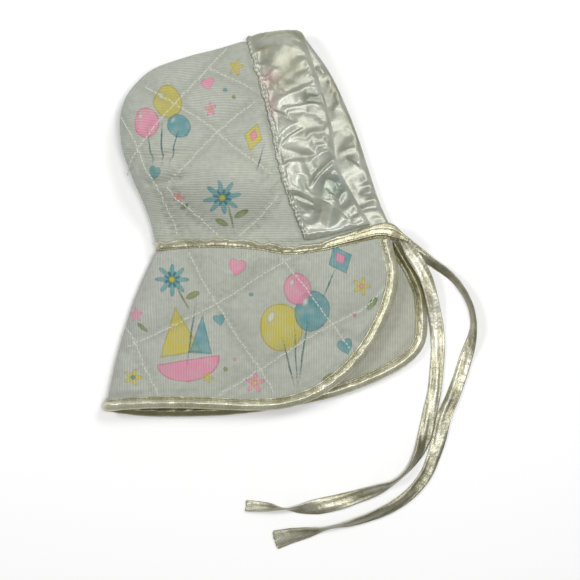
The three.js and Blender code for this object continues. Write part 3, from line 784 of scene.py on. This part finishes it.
# Painted shade in the furrows and on the fold's rim, and a spot of painted light
tint = quilting_shade(away, bell(s, 0.3) * ramp(u, 0.3, 0.7)) * spotted(CROWN_PAINTED_LIGHT, x, y)
crown = two_faced("crown_quilting", outer, inner, uv, [crown_cotton, plain_lining], tint)
fitted(crown, "crown")

# Face band
# A strip of ivory satin 40 mm wide on the outside, folded over the face edge and turned 30 mm to the
# inside. Its back edge is stitched down, which puckers it, and the slack satin lies in sharp creases.
BAND_REACH = 0.977
BAND_TURN = 30.0
BAND_THICK = 0.8
BAND_SLACK, BAND_PRESSURE, BAND_BENDING, BAND_FRAMES = 0.035, 0.5, 1.5, 22
BAND_NEAR, BAND_FAR, BAND_OUTSIDE, BAND_INSIDE = 200, 150, 54, 36
ROUND_FROM = 3.4
STITCH_PITCH = 3.3
# Painted shade of the band's satin in its hollows and painted highlight on its crests
BAND_HOLLOW_SHADE, BAND_CREST_LIGHT = (0.8, 0.8, 0.75), (1.12, 1.12, 1.13)
# Creases seen from above: start, end, half width, height
BAND_CREASES = [
    ((-4, 123), (25, 124.5), 1.6, 1.5), ((-5, 118), (10, 121), 2.6, -1.2), ((9, 118), (20, 117), 3.0, 1.3),
    ((-8, 112), (6, 119), 2.0, 1.8), ((-6, 104), (-1, 112), 2.4, -1.6), ((2, 98), (8, 104), 2.4, 1.6),
    ((8, 92), (18, 104), 3.2, 1.4), ((24, 89), (39, 89.5), 2.2, 2.0), ((26, 83), (38, 84), 3.0, -2.6),
    ((24, 77), (39, 78.5), 2.0, 2.2), ((8, 80), (24, 89), 2.6, 1.5), ((10, 72), (24, 78), 2.2, 1.6),
    ((6, 74), (18, 68), 2.0, -1.4), ((9, 56), (20, 66), 1.6, 1.8), ((14, 54), (25, 62), 1.6, 1.6),
    ((11, 54), (22, 63), 1.4, -1.6), ((10, 50), (24, 55), 2.2, 1.5), ((12, 42), (32, 46), 3.4, -1.4),
    ((12, 38), (26, 40), 2.0, 1.6), ((30, 41), (46, 49), 1.8, 2.2), ((31, 28), (46, 45), 1.3, -2.6),
    ((31, 25), (48, 42), 1.5, 2.2), ((19, 32), (31, 30), 1.8, 1.5), ((46, 33), (54, 27), 1.6, 2.2),
    ((15, 22), (31, 18), 1.3, 2.0), ((31, 18), (46, 13), 1.5, 1.8), ((16, 19), (32, 14.5), 1.5, -1.8),
    ((44, 12), (58, 3), 2.2, 1.2), ((40, 30), (50, 16), 4.5, -1.6), ((26, -8), (50, -4), 2.2, 2.2),
    ((48, -4), (74, 0), 2.2, 2.2), ((60, 10), (70, 6), 2.4, 1.5), ((26, 110), (34, 96), 2.2, 1.3),
]
FAR_CREASES = [
    ((34, 108), (40, 104), 2.0, 1.4), ((43, 98), (52, 97), 1.6, 2.0), ((44, 90), (52, 92), 3.0, -1.8),
    ((48, 82), (60, 86), 3.4, 1.6), ((50, 60), (66, 62), 4.0, -1.4), ((52, 50), (68, 54), 2.0, 1.2),
    ((56, 46), (66, 40), 1.3, 1.8), ((60, 42), (76, 46), 3.0, 1.5), ((66, 30), (78, 31), 1.6, 1.8),
    ((66, 26), (80, 27), 1.6, -1.8), ((66, 21), (80, 22), 1.6, 1.8), ((68, 16), (82, 17), 1.6, -1.6),
    ((64, 10), (80, 13), 2.2, 1.8), ((72, 4), (86, 2), 2.4, -1.2),
]


def creased(creases, x, y):
    """Height of the creases over x and y: each is a ridge across its line, with a narrow crest and sides
    that fade away, and swells and fades along it."""
    total = np.zeros(np.shape(x))
    for (ax, ay), (bx, by), width, height in creases:
        length = math.hypot(bx - ax, by - ay)
        on = ((x - ax) * (bx - ax) + (y - ay) * (by - ay)) / length**2
        off = ((x - ax) * (by - ay) - (y - ay) * (bx - ax)) / length
        off = off + 0.8 * np.sin(on * 4)
        swell = ramp(on, -0.25, 0.3) * (1 - ramp(on, 0.7, 1.25))
        total += height * swell * np.exp(0.2 - np.sqrt((off / width) ** 2 + 0.04))
    return total


# Tints of the satin where the print shows through it, painted shade where it turns away and a painted
# highlight along its lower end: middle, reach in x and y, tint
BAND_PRINT_SHADE_AND_LIGHT = [
    (3, 97, 8, 6, (1.02, 0.76, 0.8)), (3.5, 78, 4.5, 8, (1.0, 0.78, 0.82)),
    (31.5, 85, 8, 4.2, (0.5, 0.53, 0.52)), (46.5, 25, 11, 10, (0.84, 0.95, 0.98)),
    (-2, 116, 6, 3.2, (0.68, 0.68, 0.52)), (17, 104, 13, 17, (0.8, 0.8, 0.7)),
    (10, 128, 22, 3.2, (0.72, 0.72, 0.58)), (60, 15, 9, 9, (0.88, 0.89, 0.88)),
    (50, -3, 26, 3.5, (1.2, 1.2, 1.22)), (26, 62, 8, 6, (0.86, 0.86, 0.78)),
]
# Painted shade on the far strip of the band: middle, reach in x and y, tint
FAR_STRIP_PAINTED_SHADE = [
    (60, 60, 60, 90, (0.92, 0.92, 0.9)), (50, 99, 6, 8, (0.66, 0.65, 0.46)),
    (66, 56, 6, 12, (0.9, 0.9, 0.84)), (58, 74, 5, 7, (0.88, 0.88, 0.8)),
]
# The smooth part of the right half: middle, reach in x and y
CALM_AT, CALM_REACH = (15, 103), (12, 15)


ROUND_STEPS = 9


def turned_over(outside, inside, skin):
    """Section of a satin layer folded over the quilting's edge, as distance in from the fold and depth:
    straight on the outside, half a circle round the edge, straight on the inside."""
    radius = QUILT / 2 + skin
    turn = np.linspace(-np.pi / 2, np.pi / 2, ROUND_STEPS + 2)[1:-1]
    across = np.concatenate([outside, QUILT / 2 + SKIN - radius * np.cos(turn), inside])
    bend = QUILT / 2 + radius * np.sin(turn)
    depth = np.concatenate([np.full(len(outside), -skin), bend, np.full(len(inside), QUILT + skin)])
    return across, depth


outside = np.linspace(SATIN_BAND, ROUND_FROM, BAND_OUTSIDE)
inside = np.linspace(ROUND_FROM, BAND_TURN, BAND_INSIDE)
near_s = evenly(lambda s: crown_form(0.05, s, 0.0), (-BAND_REACH, 0), BAND_NEAR)
far_s = evenly(lambda s: crown_form(0.05, s, 0.0), (0.0001, BAND_REACH), BAND_FAR)
s = np.concatenate([near_s, far_s[1:]])[:, None]
flat_across, flat_depth = turned_over(outside, inside, SKIN)
band_u = flat_across / SATIN_BAND / (len(CROWN) - 1)
rest = crown_form(band_u[None], s, flat_depth[None])
x, y = rest[..., 0], rest[..., 1]
travelled = distances(rest[:, 0])[:, None]
index = np.arange(len(flat_across))
on_outside = index < BAND_OUTSIDE
on_inside = index >= BAND_OUTSIDE + ROUND_STEPS
stitched = np.where(on_outside, SATIN_BAND - flat_across, 1e3)[None]
hemmed = np.where(on_inside, BAND_TURN - flat_across, 1e3)[None]
loose = (1 - bell(stitched, 2.2)) * (1 - bell(hemmed, 2.2))
slack = 0.7 + 0.5 * waves(x / 26, y / 40, 31) + 0.3 * waves(x / 14, y / 12, 32)
beads = np.sin(2 * np.pi * travelled / STITCH_PITCH + 1.6 * waves(travelled / 12, 0 * travelled, 34))
ragged = 0.9 * waves(travelled / 7, 0 * travelled, 36) + 0.35 * beads
uneven = 0.75 + 0.5 * waves(travelled / 10, stitched / 6, 37)
pucker = 0.8 * uneven * beads * bell(stitched, 3.0) * (1 - bell(stitched, 0.6))
pucker = pucker + uneven * bell(stitched - 2.8, 1.7)
creases = np.where(s < 0, creased(BAND_CREASES, x, y), creased(FAR_CREASES, x, y))
proud = np.maximum((slack + creases) * loose, -0.7) + pucker
ends = ramp(1 - np.abs(s) / BAND_REACH, 0, 0.012)
calm = bell(x - CALM_AT[0], CALM_REACH[0]) * bell(y - CALM_AT[1], CALM_REACH[1])
calm = np.where(s < 0, calm, 0.3)
proud = proud * (0.25 + 0.75 * ends) * (1 - 0.75 * calm)


def moved(skin, proud):
    """The satin at a distance skin from the quilting, pushed outwards from its middle by proud. Its back
    edge is drawn in and let out by the stitches."""
    across, depth = turned_over(outside, inside, skin)
    away = np.where(on_outside, -1.0, np.where(on_inside, 1.0, 0.0))[None]
    across = across[None] + ragged * bell(stitched, 3.0)
    return crown_form(across / SATIN_BAND / (len(CROWN) - 1), s, depth[None] + away * proud)


outer, inner = moved(SKIN, proud), moved(SKIN - BAND_THICK, proud)
on_top = (slice(BAND_NEAR), slice(BAND_OUTSIDE), 1, 1.0)
in_mouth = (slice(BAND_NEAR - 1, None), slice(BAND_OUTSIDE + ROUND_STEPS, None), -1, 0.15)
for rows, face, way, looseness in (on_top, in_mouth):
    cover = outer[rows, face][:, ::way]
    held = np.zeros(cover.shape[:2])
    held[:, :2] = held[:, -1:] = held[:2] = held[-2:] = 1
    spare = BAND_SLACK * looseness
    gone_out = billowed(cover, held, 150, 42, spare, BAND_PRESSURE, BAND_BENDING, BAND_FRAMES)
    gone_out = gone_out[:, ::way]
    gone_out = gone_out * (1 - 0.85 * calm[rows, face])[..., None]
    outer[rows, face] += gone_out
    inner[rows, face] += gone_out
outer[..., 2] = np.maximum(outer[..., 2], LOWEST)
inner[..., 2] = np.maximum(inner[..., 2], LOWEST + 0.2)
round_band = distances(np.stack([flat_across, flat_depth], -1))
uv = np.stack(np.broadcast_arrays(travelled, round_band[None]), -1)
# Ivory satin: its painted shade and painted light, metallic, roughness, crease bump and no painted glints
ivory_satin = satin("ivory_satin", "#9c9e90", "#b5b7ab", 0.38, 0.41, 0.3, 0.0)
# The band's tint: print showing through and spots of painted shade and light, times painted shade in its
# hollows and painted highlight on its crests
tint = np.where((s < 0)[..., None], spotted(BAND_PRINT_SHADE_AND_LIGHT, x, y), spotted(FAR_STRIP_PAINTED_SHADE, x, y))
tint = tint * toned(BAND_HOLLOW_SHADE, BAND_CREST_LIGHT, ramp(proud, -0.9, 2.4))
band_cover = outer[:BAND_NEAR, :6]
band = two_faced("face_band_satin", outer, inner, uv, [ivory_satin], tint)
fitted(band, "face_band")

# Cape
# The same quilting cut as a flared collar, folded at the centre back. The left half shows its lining.
CAPE = np.array([
    (81.9, 87.4, 85.1, -19.9, 12, 93.4, -19.2), (71.7, 79.9, 87.8, -32.4, 12, 101, -32.4),
    (58.1, 69, 86.5, -45.7, 12, 107.3, -48.2), (44.5, 55.4, 80.8, -63, 12, 108.5, -65.2),
    (30.9, 41.1, 70.4, -82.5, 12, 107, -80.7), (17.3, 26.2, 55, -100.9, 12, 97.4, -93),
    (3.1, 10.5, 34.3, -116, 12, 77.9, -104.4), (-11.2, -5.8, 10.9, -123.6, 12.5, 50.9, -114.9),
    (-26.2, -22.1, -14.6, -124.6, 13.5, 17, -122.7), (-41.1, -38.4, -41.8, -123.4, 14.5, -19.6, -128),
    (-54.1, -52.7, -69, -122.9, 15.5, -55.4, -129.7), (-64.9, -64.3, -93.6, -123.6, 16, -87.4, -129.1),
    (-74.5, -74.5, -110.8, -125.4, 16, -110.8, -125.4),
])
CAPE_FOLD = np.array([-0.95, 0.31, 0.0])
CAPE_FOLD_HEIGHT = 8.65
CAPE_FOLD_TURN = 3.5
CAPE_CLIMB = (5, 9)
CAPE_BULGE, CAPE_BULGE_REACH = 4.2, 0.5
CAPE_LINES = [
    [(-56, -14), (-52, -20.9), (-48.2, -27.9), (-42.5, -40.3), (-33.4, -54.2), (-27.7, -63.3),
     (-21.1, -74.8), (-3.1, -100.4), (5.8, -116), (9, -122)],
    [(12.3, -25.5), (-5.1, -35.8), (-18, -44.5), (-33.4, -53.8), (-44.1, -59.2), (-67.2, -70.7),
     (-87, -80.2), (-96, -84)],
    [(-99, -64), (-96, -69.8), (-89.4, -80.6), (-81.9, -98.7), (-73.1, -116), (-71, -121)],
    [(-38, -119), (-28.5, -113.6), (-15.3, -106.1), (5.8, -92.3), (31.4, -75.8), (48.8, -66.2),
     (66.1, -57.6), (77.4, -46.3), (84, -38)],
    [(12.3, -25.5), (19.2, -34.1), (28.8, -46.3), (42.7, -65.4), (53.1, -79.3), (63.6, -93.6)],
    [(12.3, -25.5), (7.8, -17.5)],
    [(12.3, -25.5), (29.6, -15.4)],
]
# How far the stitching of the left half lies from that of the right, seen from above
FAR_SHIFT = (22, -14)


def cape_form(t, a, depth):
    """Points of the folded cape: t from -1 at the front edge of the right half over the fold at 0 to 1 at
    that of the left, a from 0 at the neck line to 1 at the free edge. A row of the table, a cosine of
    t along it, gives the two ends of a straight line, which bulges out beside the fold. Near the fold the
    height turns over in an arc."""
    t, a, depth = np.broadcast_arrays(t, a, depth)
    turn = np.abs(t) * np.pi / 2
    lie = np.minimum(turn * CAPE_FOLD_TURN, np.pi / 2)
    far = t > 0
    row = along(CAPE, np.cos(turn))
    neck_x = np.where(far, row[..., 1], row[..., 0])
    line = neck(neck_x)
    start = np.stack([neck_x, np.where(far, line[..., 1], line[..., 0]) - SEAM_HALF_GAP], -1)
    end = np.where(far[..., None], row[..., 5:7], row[..., 2:4])
    run = np.linalg.norm(end - start, axis=-1)
    out = CAPE_FOLD[:2] * (depth * np.cos(lie))[..., None]
    place = start + (end - start) * a[..., None] - out
    place[..., 0] -= CAPE_BULGE * np.sin(np.pi * np.minimum(1.1 * a, 1)) * bell(turn, CAPE_BULGE_REACH)
    climb = ramp(a * run, CAPE_CLIMB[0], run - CAPE_CLIMB[1])
    high = line[..., 2] + (row[..., 4] - line[..., 2]) * climb
    level = np.where(far, SKIN + depth, high - depth)
    up = CAPE_FOLD_HEIGHT + (level - CAPE_FOLD_HEIGHT) * np.sin(lie)
    return np.concatenate([place, up[..., None]], -1)


CAPE_PRINT = [
    ("round", 10, -70, 29, 33, 12, YELLOW), ("round", 31, -59, 24, 28, -16, TEAL),
    ("round", 21, -44, 19, 22, 5, PINK), ("round", 3, -63, 5, 9, -25, PALE),
    ("round", 26, -53, 4, 7, -25, PALE), ("round", 17, -40, 3.4, 6, -25, PALE),
    ("round", 15, -94, 1.2, 26, 14, DEEP_TEAL), ("round", 25, -86, 1.2, 34, -8, DEEP_TEAL),
    ("round", 20, -90, 1.0, 30, 3, DEEP_TEAL), ("bowl", -53, -92, 42, 30, 8, PINK),
    ("sail", -60, -72, 28, 34, 8, YELLOW), ("sail", -44, -75, 16, 27, -4, TEAL),
    ("round", -51, -75, 1.2, 34, -8, DEEP_TEAL), ("petals_5", -40, -104, 8, 8, 0, YELLOW),
    ("petals_8", -64, -38, 22, 22, 0, TEAL), ("petals_8", -64, -38, 12, 12, 22, DEEP_TEAL),
    ("round", -64, -38, 4.4, 4.4, 0, YELLOW), ("round", -57, -50, 1.4, 15, 30, GREEN),
    ("round", -50, -48, 10, 4, 20, GREEN), ("heart", -20, -30, 13, 13, -12, PINK),
    ("petals_5", -8, -108, 14, 14, 12, PINK), ("round", -8, -108, 4, 4, 0, YELLOW),
    ("petals_5", 64, -42, 13, 13, 0, YELLOW), ("round", 64, -42, 3.4, 3.4, 0, PINK),
    ("heart", 54, -84, 12, 12, 20, TEAL), ("kite", 50, -24, 17, 21, 24, TEAL),
    ("kite", 50, -23, 8, 10, 24, PINK), ("round", 43, -40, 1.1, 16, -24, DEEP_TEAL),
    ("heart", -32, -66, 9, 9, 10, TEAL), ("petals_5", -90, -104, 12, 12, 0, YELLOW),
    ("round", -90, -104, 3, 3, 0, TEAL), ("round", -28, -98, 3, 3, 0, GREEN),
    ("round", -22, -92, 2.4, 2.4, 0, PINK), ("round", 60, -62, 2.6, 2.6, 0, PINK),
    ("round", -10, -48, 3, 3, 0, TEAL), ("round", 72, -54, 11, 4.4, 50, GREEN),
    ("round", 42, -104, 9, 3.6, 30, GREEN), ("petals_5", -88, -62, 10, 10, 20, PINK),
    ("round", -84, -70, 8, 3, -40, GREEN),
]
cape_cotton = printed_cotton("printed_ribbed_cotton_cape", 90, COTTON, CAPE_PRINT)
cape_lining = printed_cotton("plain_cream_cotton_cape_lining", 90, LINING, [])

CAPE_NEAR, CAPE_FAR, CAPE_ROWS = 190, 130, 120
near_t = evenly(lambda t: cape_form(t, 0.75, 0.0), (-1, 0), CAPE_NEAR)
far_t = evenly(lambda t: cape_form(t, 0.75, 0.0), (0.0001, 1), CAPE_FAR)
t = np.concatenate([near_t, far_t[1:]])[:, None]
a = np.linspace(0, 1, CAPE_ROWS)[None, :]
flat = cape_form(t, a, 0.0)
x, y = flat[..., 0], flat[..., 1]
run = np.linalg.norm(flat[:, -1, :2] - flat[:, 0, :2], axis=-1)[:, None]
uv = np.stack([x, y], -1)
free = ramp(a * run, 2.5, 8) * ramp((1 - a) * run, 5.5, 12) * ramp(np.minimum(t + 1, 1 - t) * 90, 1, 9)
free = free * (0.2 + 0.8 * ramp(np.abs(t), 0.02, 0.22))
gathers = 0.3 * np.sin(2 * np.pi * x / 5.6 + 1.4 * waves(x / 22, y / 22, 6))
gathers = gathers * np.exp(-np.maximum(a * run - 4, 0) / 8)
out = (quilted(CAPE_LINES, x, y, 7) + gathers) * free
outer = cape_form(t, a, -np.where(t > 0, np.minimum(out, 0.9), out))
away, _ = to_lines(CAPE_LINES, x, y)
# Painted shade in the furrows and on the fold's rim
tint = quilting_shade(away, bell(t, 0.3))
held = np.maximum(bell(away, 1.5), 1 - free)
held = np.maximum(held, ramp(t, -0.05, 0.0))
outer = outer + billowed(outer, held, 170, 80, *COVER_CLOTH)
outer[..., 2] = np.maximum(outer[..., 2], LOWEST)
cape_cover = outer[:CAPE_NEAR]
away, _ = to_lines([np.add(line, FAR_SHIFT) for line in CAPE_LINES], x, y)
lined = 0.9 * (1 - bell(away, 8)) + 0.25 * waves(x / 16, y / 16, 9)
inner = cape_form(t, a, QUILT + np.where(t > 0, lined, 0.3) * free)
cape = two_faced("cape_quilting", outer, inner, uv, [cape_cotton, cape_lining], tint)
fitted(cape, "cape")

# Quilting thread
# White cotton thread, matt and smooth, in running stitches that lie in the furrows that they pull.
# Under every stitch line the crown and the cape are at their lowest.
STITCH, STITCH_GAP, THREAD = 2.4, 0.35, 0.4
# Places along a stitch and its thickness there; how unevenly the stitches start and end
ALONG_STITCH = np.array([-0.02, 0.12, 0.35, 0.65, 0.88, 1.02])
STITCH_SHAPE = np.array([0.5, 0.9, 1, 1, 0.9, 0.5])
START_SPREAD, END_SPREAD = 0.22, 0.28
SUNK, BOW, ROUND = 0.08, 1.08, 6
THREAD_WHITE = "#c3c5b9"
thread_white, _, _ = material(
    "white_cotton_thread", Base_Color=linear(THREAD_WHITE), Roughness=0.6, Sheen_Weight=0.2
)


def stitches(name, lines, grid, inside):
    """Short rods along the lines, each of six-sided rings that bulge in the middle and sink at the ends.
    Their height is that of the nearest point of the cover."""
    starts, ways = [], []
    for line in lines:
        course = along(line, np.linspace(0, 1, 60 * len(line)))
        gone = distances(course)
        for begin in np.arange(0.5, gone[-1] - STITCH, STITCH + STITCH_GAP):
            a = np.array([np.interp(begin, gone, course[:, k]) for k in (0, 1)])
            b = np.array([np.interp(begin + STITCH, gone, course[:, k]) for k in (0, 1)])
            if inside(a) and inside(b):
                starts.append(a)
                ways.append(b - a)
    starts, ways = np.array(starts), np.array(ways)
    dice = np.random.default_rng(len(starts))
    starts = starts + dice.normal(0, START_SPREAD, starts.shape)
    ways = ways + dice.normal(0, END_SPREAD, ways.shape)
    spots = starts[:, None] + ways[:, None] * ALONG_STITCH[None, :, None]
    cover = grid.reshape(-1, 3)
    nearest = [np.argmin(((cover[None, :, :2] - spot[:, None]) ** 2).sum(-1), axis=1) for spot in spots]
    height = cover[np.array(nearest), 2]
    height = np.maximum(height, (height[:, :1] + height[:, -1:]) / 2) - SUNK
    height = height - BOW * (ALONG_STITCH - 0.5) ** 2
    angle = np.arange(ROUND) * 2 * np.pi / ROUND
    side = unit(np.stack([-ways[:, 1], ways[:, 0]], -1))
    radius = THREAD * STITCH_SHAPE[None, :, None]
    xy = spots[:, :, None] + side[:, None, None] * (radius * np.cos(angle))[..., None]
    up = height[..., None] + radius * np.sin(angle)
    points = np.concatenate([xy, up[..., None]], -1)
    rings = ring_faces(len(ALONG_STITCH), ROUND)
    each = len(ALONG_STITCH) * ROUND
    faces = (rings[None] + each * np.arange(len(starts))[:, None, None]).reshape(-1, 4)
    made = piece(name, points, faces, points[..., :2], [thread_white])
    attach(made, "root")


def on_crown(place):
    """Whether a place seen from above is on the open part of the crown's right half."""
    x, y = place
    band_edge = np.interp(y, [-12, 4, 20, 60, 90, 118], [28, 22, 8, -1, -8, -14])
    return y > neck(np.array(x))[0] + 4.5 and x < band_edge and math.hypot(x + 10, y - 20) < 104


def on_cape(place):
    """Whether a place seen from above is on the cape's right half, clear of its tapes."""
    x, y = place
    hem = np.interp(x, [5, 40, 60, 75, 85], [-116.5, -101, -85, -63, -35])
    fold = np.interp(y, [-124, -64, -15], [-106, -96, -73])
    return hem < y < neck(np.array(x))[0] - 4.5 and x > fold


stitches("crown_stitching", CROWN_LINES, crown_cover, on_crown)
stitches("cape_stitching", CAPE_LINES, cape_cover, on_cape)
stitches("band_stitching", [band_cover[3:-3:9, 2, :2]], band_cover, lambda place: True)

# Neck tape
# Champagne satin tape, sewn over the seam between the crown and the cape from one front corner round
# the nape to the other. Towards the front it is folded on itself in layers, where the ties are sewn in.
NAPE_X = -70.0
TAPE_END, TAPE_FAR_END = 97.0, 91.0
NAPE_FLARE = 0.4
TONGUE, TONGUE_X, TONGUE_REACH = 0.45, 83.0, 6.0
LAYERS, LAYER_STEP = 3, 0.55
TAPE_PITCH = 3.1
NEAR_STEPS, NAPE_STEPS, FAR_STEPS, TAPE_STEPS = 220, 24, 80, 30


def across_run(points, normals):
    """The way across a run of points, square to the run and to its normals."""
    return unit(np.cross(np.gradient(points, axis=0), normals))


near_x = np.linspace(TAPE_END, NAPE_X, NEAR_STEPS, endpoint=False)
nape_s = np.linspace(-1, 1, NAPE_STEPS + 1)
far_x = np.linspace(NAPE_X, TAPE_FAR_END, FAR_STEPS + 1)[1:]
near_row, far_row = neck(near_x), neck(far_x)
nape = crown_form(1.0, nape_s, 0.0)
nape_out = crown_form(1.0, nape_s, -1.0) - nape
nape[:, 1] = neck(np.array(NAPE_X))[0]
nape_out[:, 1] = 0
seam = np.concatenate([
    np.stack([near_x, near_row[:, 0], near_row[:, 2]], -1),
    nape,
    np.stack([far_x, far_row[:, 1], np.full(FAR_STEPS, SKIN)], -1),
])
up, down = np.tile((0, 0, 1.0), (NEAR_STEPS, 1)), np.tile((0, 0, -1.0), (FAR_STEPS, 1))
normal = np.concatenate([up, nape_out, down])
half = np.concatenate([near_row[:, 3], np.full(NAPE_STEPS + 1 + FAR_STEPS, NECK[0, 3])])[:, None]
flare = np.concatenate([np.zeros(NEAR_STEPS), 1 - np.abs(nape_s), np.zeros(FAR_STEPS)])[:, None]
across = across_run(seam, normal)
gone = distances(seam)[:, None]
v = np.linspace(-1, 1, TAPE_STEPS)[None, :]
on_right = (np.arange(len(seam)) < NEAR_STEPS)[:, None]
layered = ramp(seam[:, :1], 30, 62) * on_right
upper = v if across[5, 1] > 0 else -v
wavy = 0.2 * waves(gone / 12, 0 * gone, 41) + 0.1 * waves(gone / 5, 0 * gone, 44)
tongue = TONGUE * bell(seam[:, :1] - TONGUE_X, TONGUE_REACH) * on_right
point = 1 - 0.5 * ramp(seam[:, :1], 86, TAPE_END) * on_right
reach = np.where(upper > 0, 1 + wavy * (1 - layered) + tongue, 1.0) * point
crest = np.exp(-np.abs((upper - 0.66 - wavy) / 0.42) ** 1.5) * (1 - 0.85 * layered)
slope = (0.35 + 0.3 * upper) * (1 - layered)
across_layers = (upper + 1) / 2 * LAYERS + 0.12 * waves(gone / 18, 0 * gone, 45)
in_layer = across_layers - np.floor(across_layers)
pleats = layered * LAYER_STEP * ramp(in_layer, 0, 0.22) * (1 - 0.5 * in_layer)
tucked = layered * ramp(-upper, 0.42, 0.62)
furrow = -0.3 * bell(upper + 0.72, 0.14)
pinch = 0.12 * np.sin(2 * np.pi * gone / TAPE_PITCH + 2.5 * waves(gone / 11, 0 * gone, 42))
pinch = pinch * bell(upper + 0.6, 0.5)
lift = 1.5 * ramp(seam[:, :1], 84, 92) * on_right
ripple = 0.22 * waves(gone / 9 + 0.4 * upper, upper, 43)
rounded = np.sqrt(np.maximum(1 - np.abs(v) ** 6, 0.02))
height = (0.35 + 1.35 * crest + slope + pleats * (1 - tucked)) * rounded
height = 0.5 + height + furrow + pinch + ripple + lift


def neck_tape(height):
    """Points of the tape at a height over the quilting."""
    place = seam[:, None] + normal[:, None] * height[..., None]
    place = place + across[:, None] * (v * half * reach)[..., None]
    place[..., 0] -= NAPE_FLARE * flare * half * np.abs(v)
    place[..., 2] = np.maximum(place[..., 2], LOWEST)
    return place


outer, inner = neck_tape(height), neck_tape(np.full(height.shape, 0.42) + 0.8 * lift)
uv = np.stack(np.broadcast_arrays(gone, v * half), -1)
# Painted highlight on the tape's crest and painted shade below it, on its tucked underside and between its
# layers
tint = toned(HOLLOW_SHADE, CREST_LIGHT, ramp(height - lift, 0.6, 2.1)) * toned(WHITE, SHADED, tucked)
tint = tint * toned(WHITE, HOLLOW_SHADE, layered * (1 - ramp(in_layer, 0.0, 0.22)))
neck_piece = two_faced("neck_tape", outer, inner, uv, [champagne_satin], tint)
fitted(neck_piece, "neck_binding")

# Cape tape
# The same tape folded over the free edge of the cape and stitched through near its inner edge.
TAPE_WIDTH, TAPE_INSET, TAPE_BULGE = 7.6, 1.6, 0.7
TAPE_INNER_EDGE = 0.94
TAPE_FRONT_START = 0.27
# The stitch line's place in from the tape's edge and its width; the pitch of the puckers along it
TAPE_STITCHES, STITCHED_WIDTH, HEM_PITCH = 1.5, 0.55, 3.0
FOLD_SHOULDER = 1.0
TAPE_ROUND_FROM = 2.9
FRONT_STEPS, HEM_STEPS, HEM_OUTSIDE, HEM_INSIDE = 56, 420, 16, 10

front = np.linspace(TAPE_FRONT_START, 1.0, FRONT_STEPS, endpoint=False)
hem_t = evenly(lambda t: cape_form(t, 1.0, 0.0), (-1, 1), HEM_STEPS)
t = np.concatenate([-np.ones(FRONT_STEPS), hem_t, np.ones(FRONT_STEPS)])
a = np.concatenate([front, np.ones(HEM_STEPS), front[::-1]])
lie = np.minimum(np.abs(t) * np.pi / 2 * CAPE_FOLD_TURN, np.pi / 2)
normal = CAPE_FOLD * np.cos(lie)[:, None]
normal[:, 2] += np.where(t > 0, -1, 1) * np.sin(lie)
edge = cape_form(t, a, 0.0)
to_neck = unit(cape_form(t, TAPE_INNER_EDGE * a, 0.0) - edge)
at_fold = 1 - ramp(lie, FOLD_SHOULDER, np.pi / 2)
way = across_run(edge, normal)
way = way + (to_neck - way) * at_fold[:, None]
gone = distances(edge)[:, None]
outside = np.linspace(TAPE_WIDTH, TAPE_ROUND_FROM, HEM_OUTSIDE)
inside = np.linspace(TAPE_ROUND_FROM, TAPE_WIDTH, HEM_INSIDE)
tape_across, tape_depth = turned_over(outside, inside, SKIN)
straight = np.ones(len(tape_across))
straight[HEM_OUTSIDE:-HEM_INSIDE] = 0
from_edge = TAPE_WIDTH - tape_across[None]
stitched = (from_edge - TAPE_STITCHES) / STITCHED_WIDTH
roll = 0.95 * bell(from_edge - 4.3, 1.4) - 0.7 * bell(stitched, 1)
pinch = 0.3 * np.sin(2 * np.pi * gone / HEM_PITCH + 2.8 * waves(gone / 12, 0 * gone, 51))
pinch = pinch * bell(stitched, 2)
ripple = 0.3 * waves(gone / 11 + 0.12 * from_edge, from_edge / 5, 52)
ripple = ripple + 0.14 * waves(gone / 4, from_edge / 3, 53)
proud = roll + pinch + ripple


def cape_tape(skin, proud):
    """Points of the tape at a distance skin from the quilting, pushed out by proud on its flat sides and
    a little round its fold."""
    across, depth = turned_over(outside, inside, skin)
    inner_side = np.arange(len(across)) >= HEM_OUTSIDE + ROUND_STEPS
    outwards = np.where(inner_side, 1.0, -1.0) * straight
    depth = depth[None] + outwards * proud
    across = across[None] - (1 - straight) * (TAPE_BULGE + 0.35 * ripple_at_fold)
    place = edge[:, None] + way[:, None] * (across - TAPE_INSET)[..., None]
    place = place - normal[:, None] * depth[..., None]
    place[..., 2] = np.maximum(place[..., 2], LOWEST)
    return place


ripple_at_fold = ripple - ripple.mean()
outer, inner = cape_tape(SKIN, proud), cape_tape(SKIN - BAND_THICK, np.minimum(proud, 0.4))
round_tape = distances(np.stack([tape_across, tape_depth], -1))
uv = np.stack(np.broadcast_arrays(gone, round_tape[None]), -1)
# Painted shade in the tape's hollows and painted highlight on its crests, a middle tone round its fold, and
# painted shade where the left half's tape lies under the right half
in_shade = ramp(t, 0, 0.02) * np.maximum(1 - ramp(edge[:, 0], 10, 60), ramp(edge[:, 1], -66, -50))
tint = toned(HOLLOW_SHADE, CREST_LIGHT, ramp(proud, -1.0, 0.7) * straight + 0.72 * (1 - straight))
tint = tint * toned(WHITE, SHADED, in_shade[:, None])
hem_piece = two_faced("cape_tape", outer, inner, uv, [champagne_satin], tint)
fitted(hem_piece, "cape_binding")
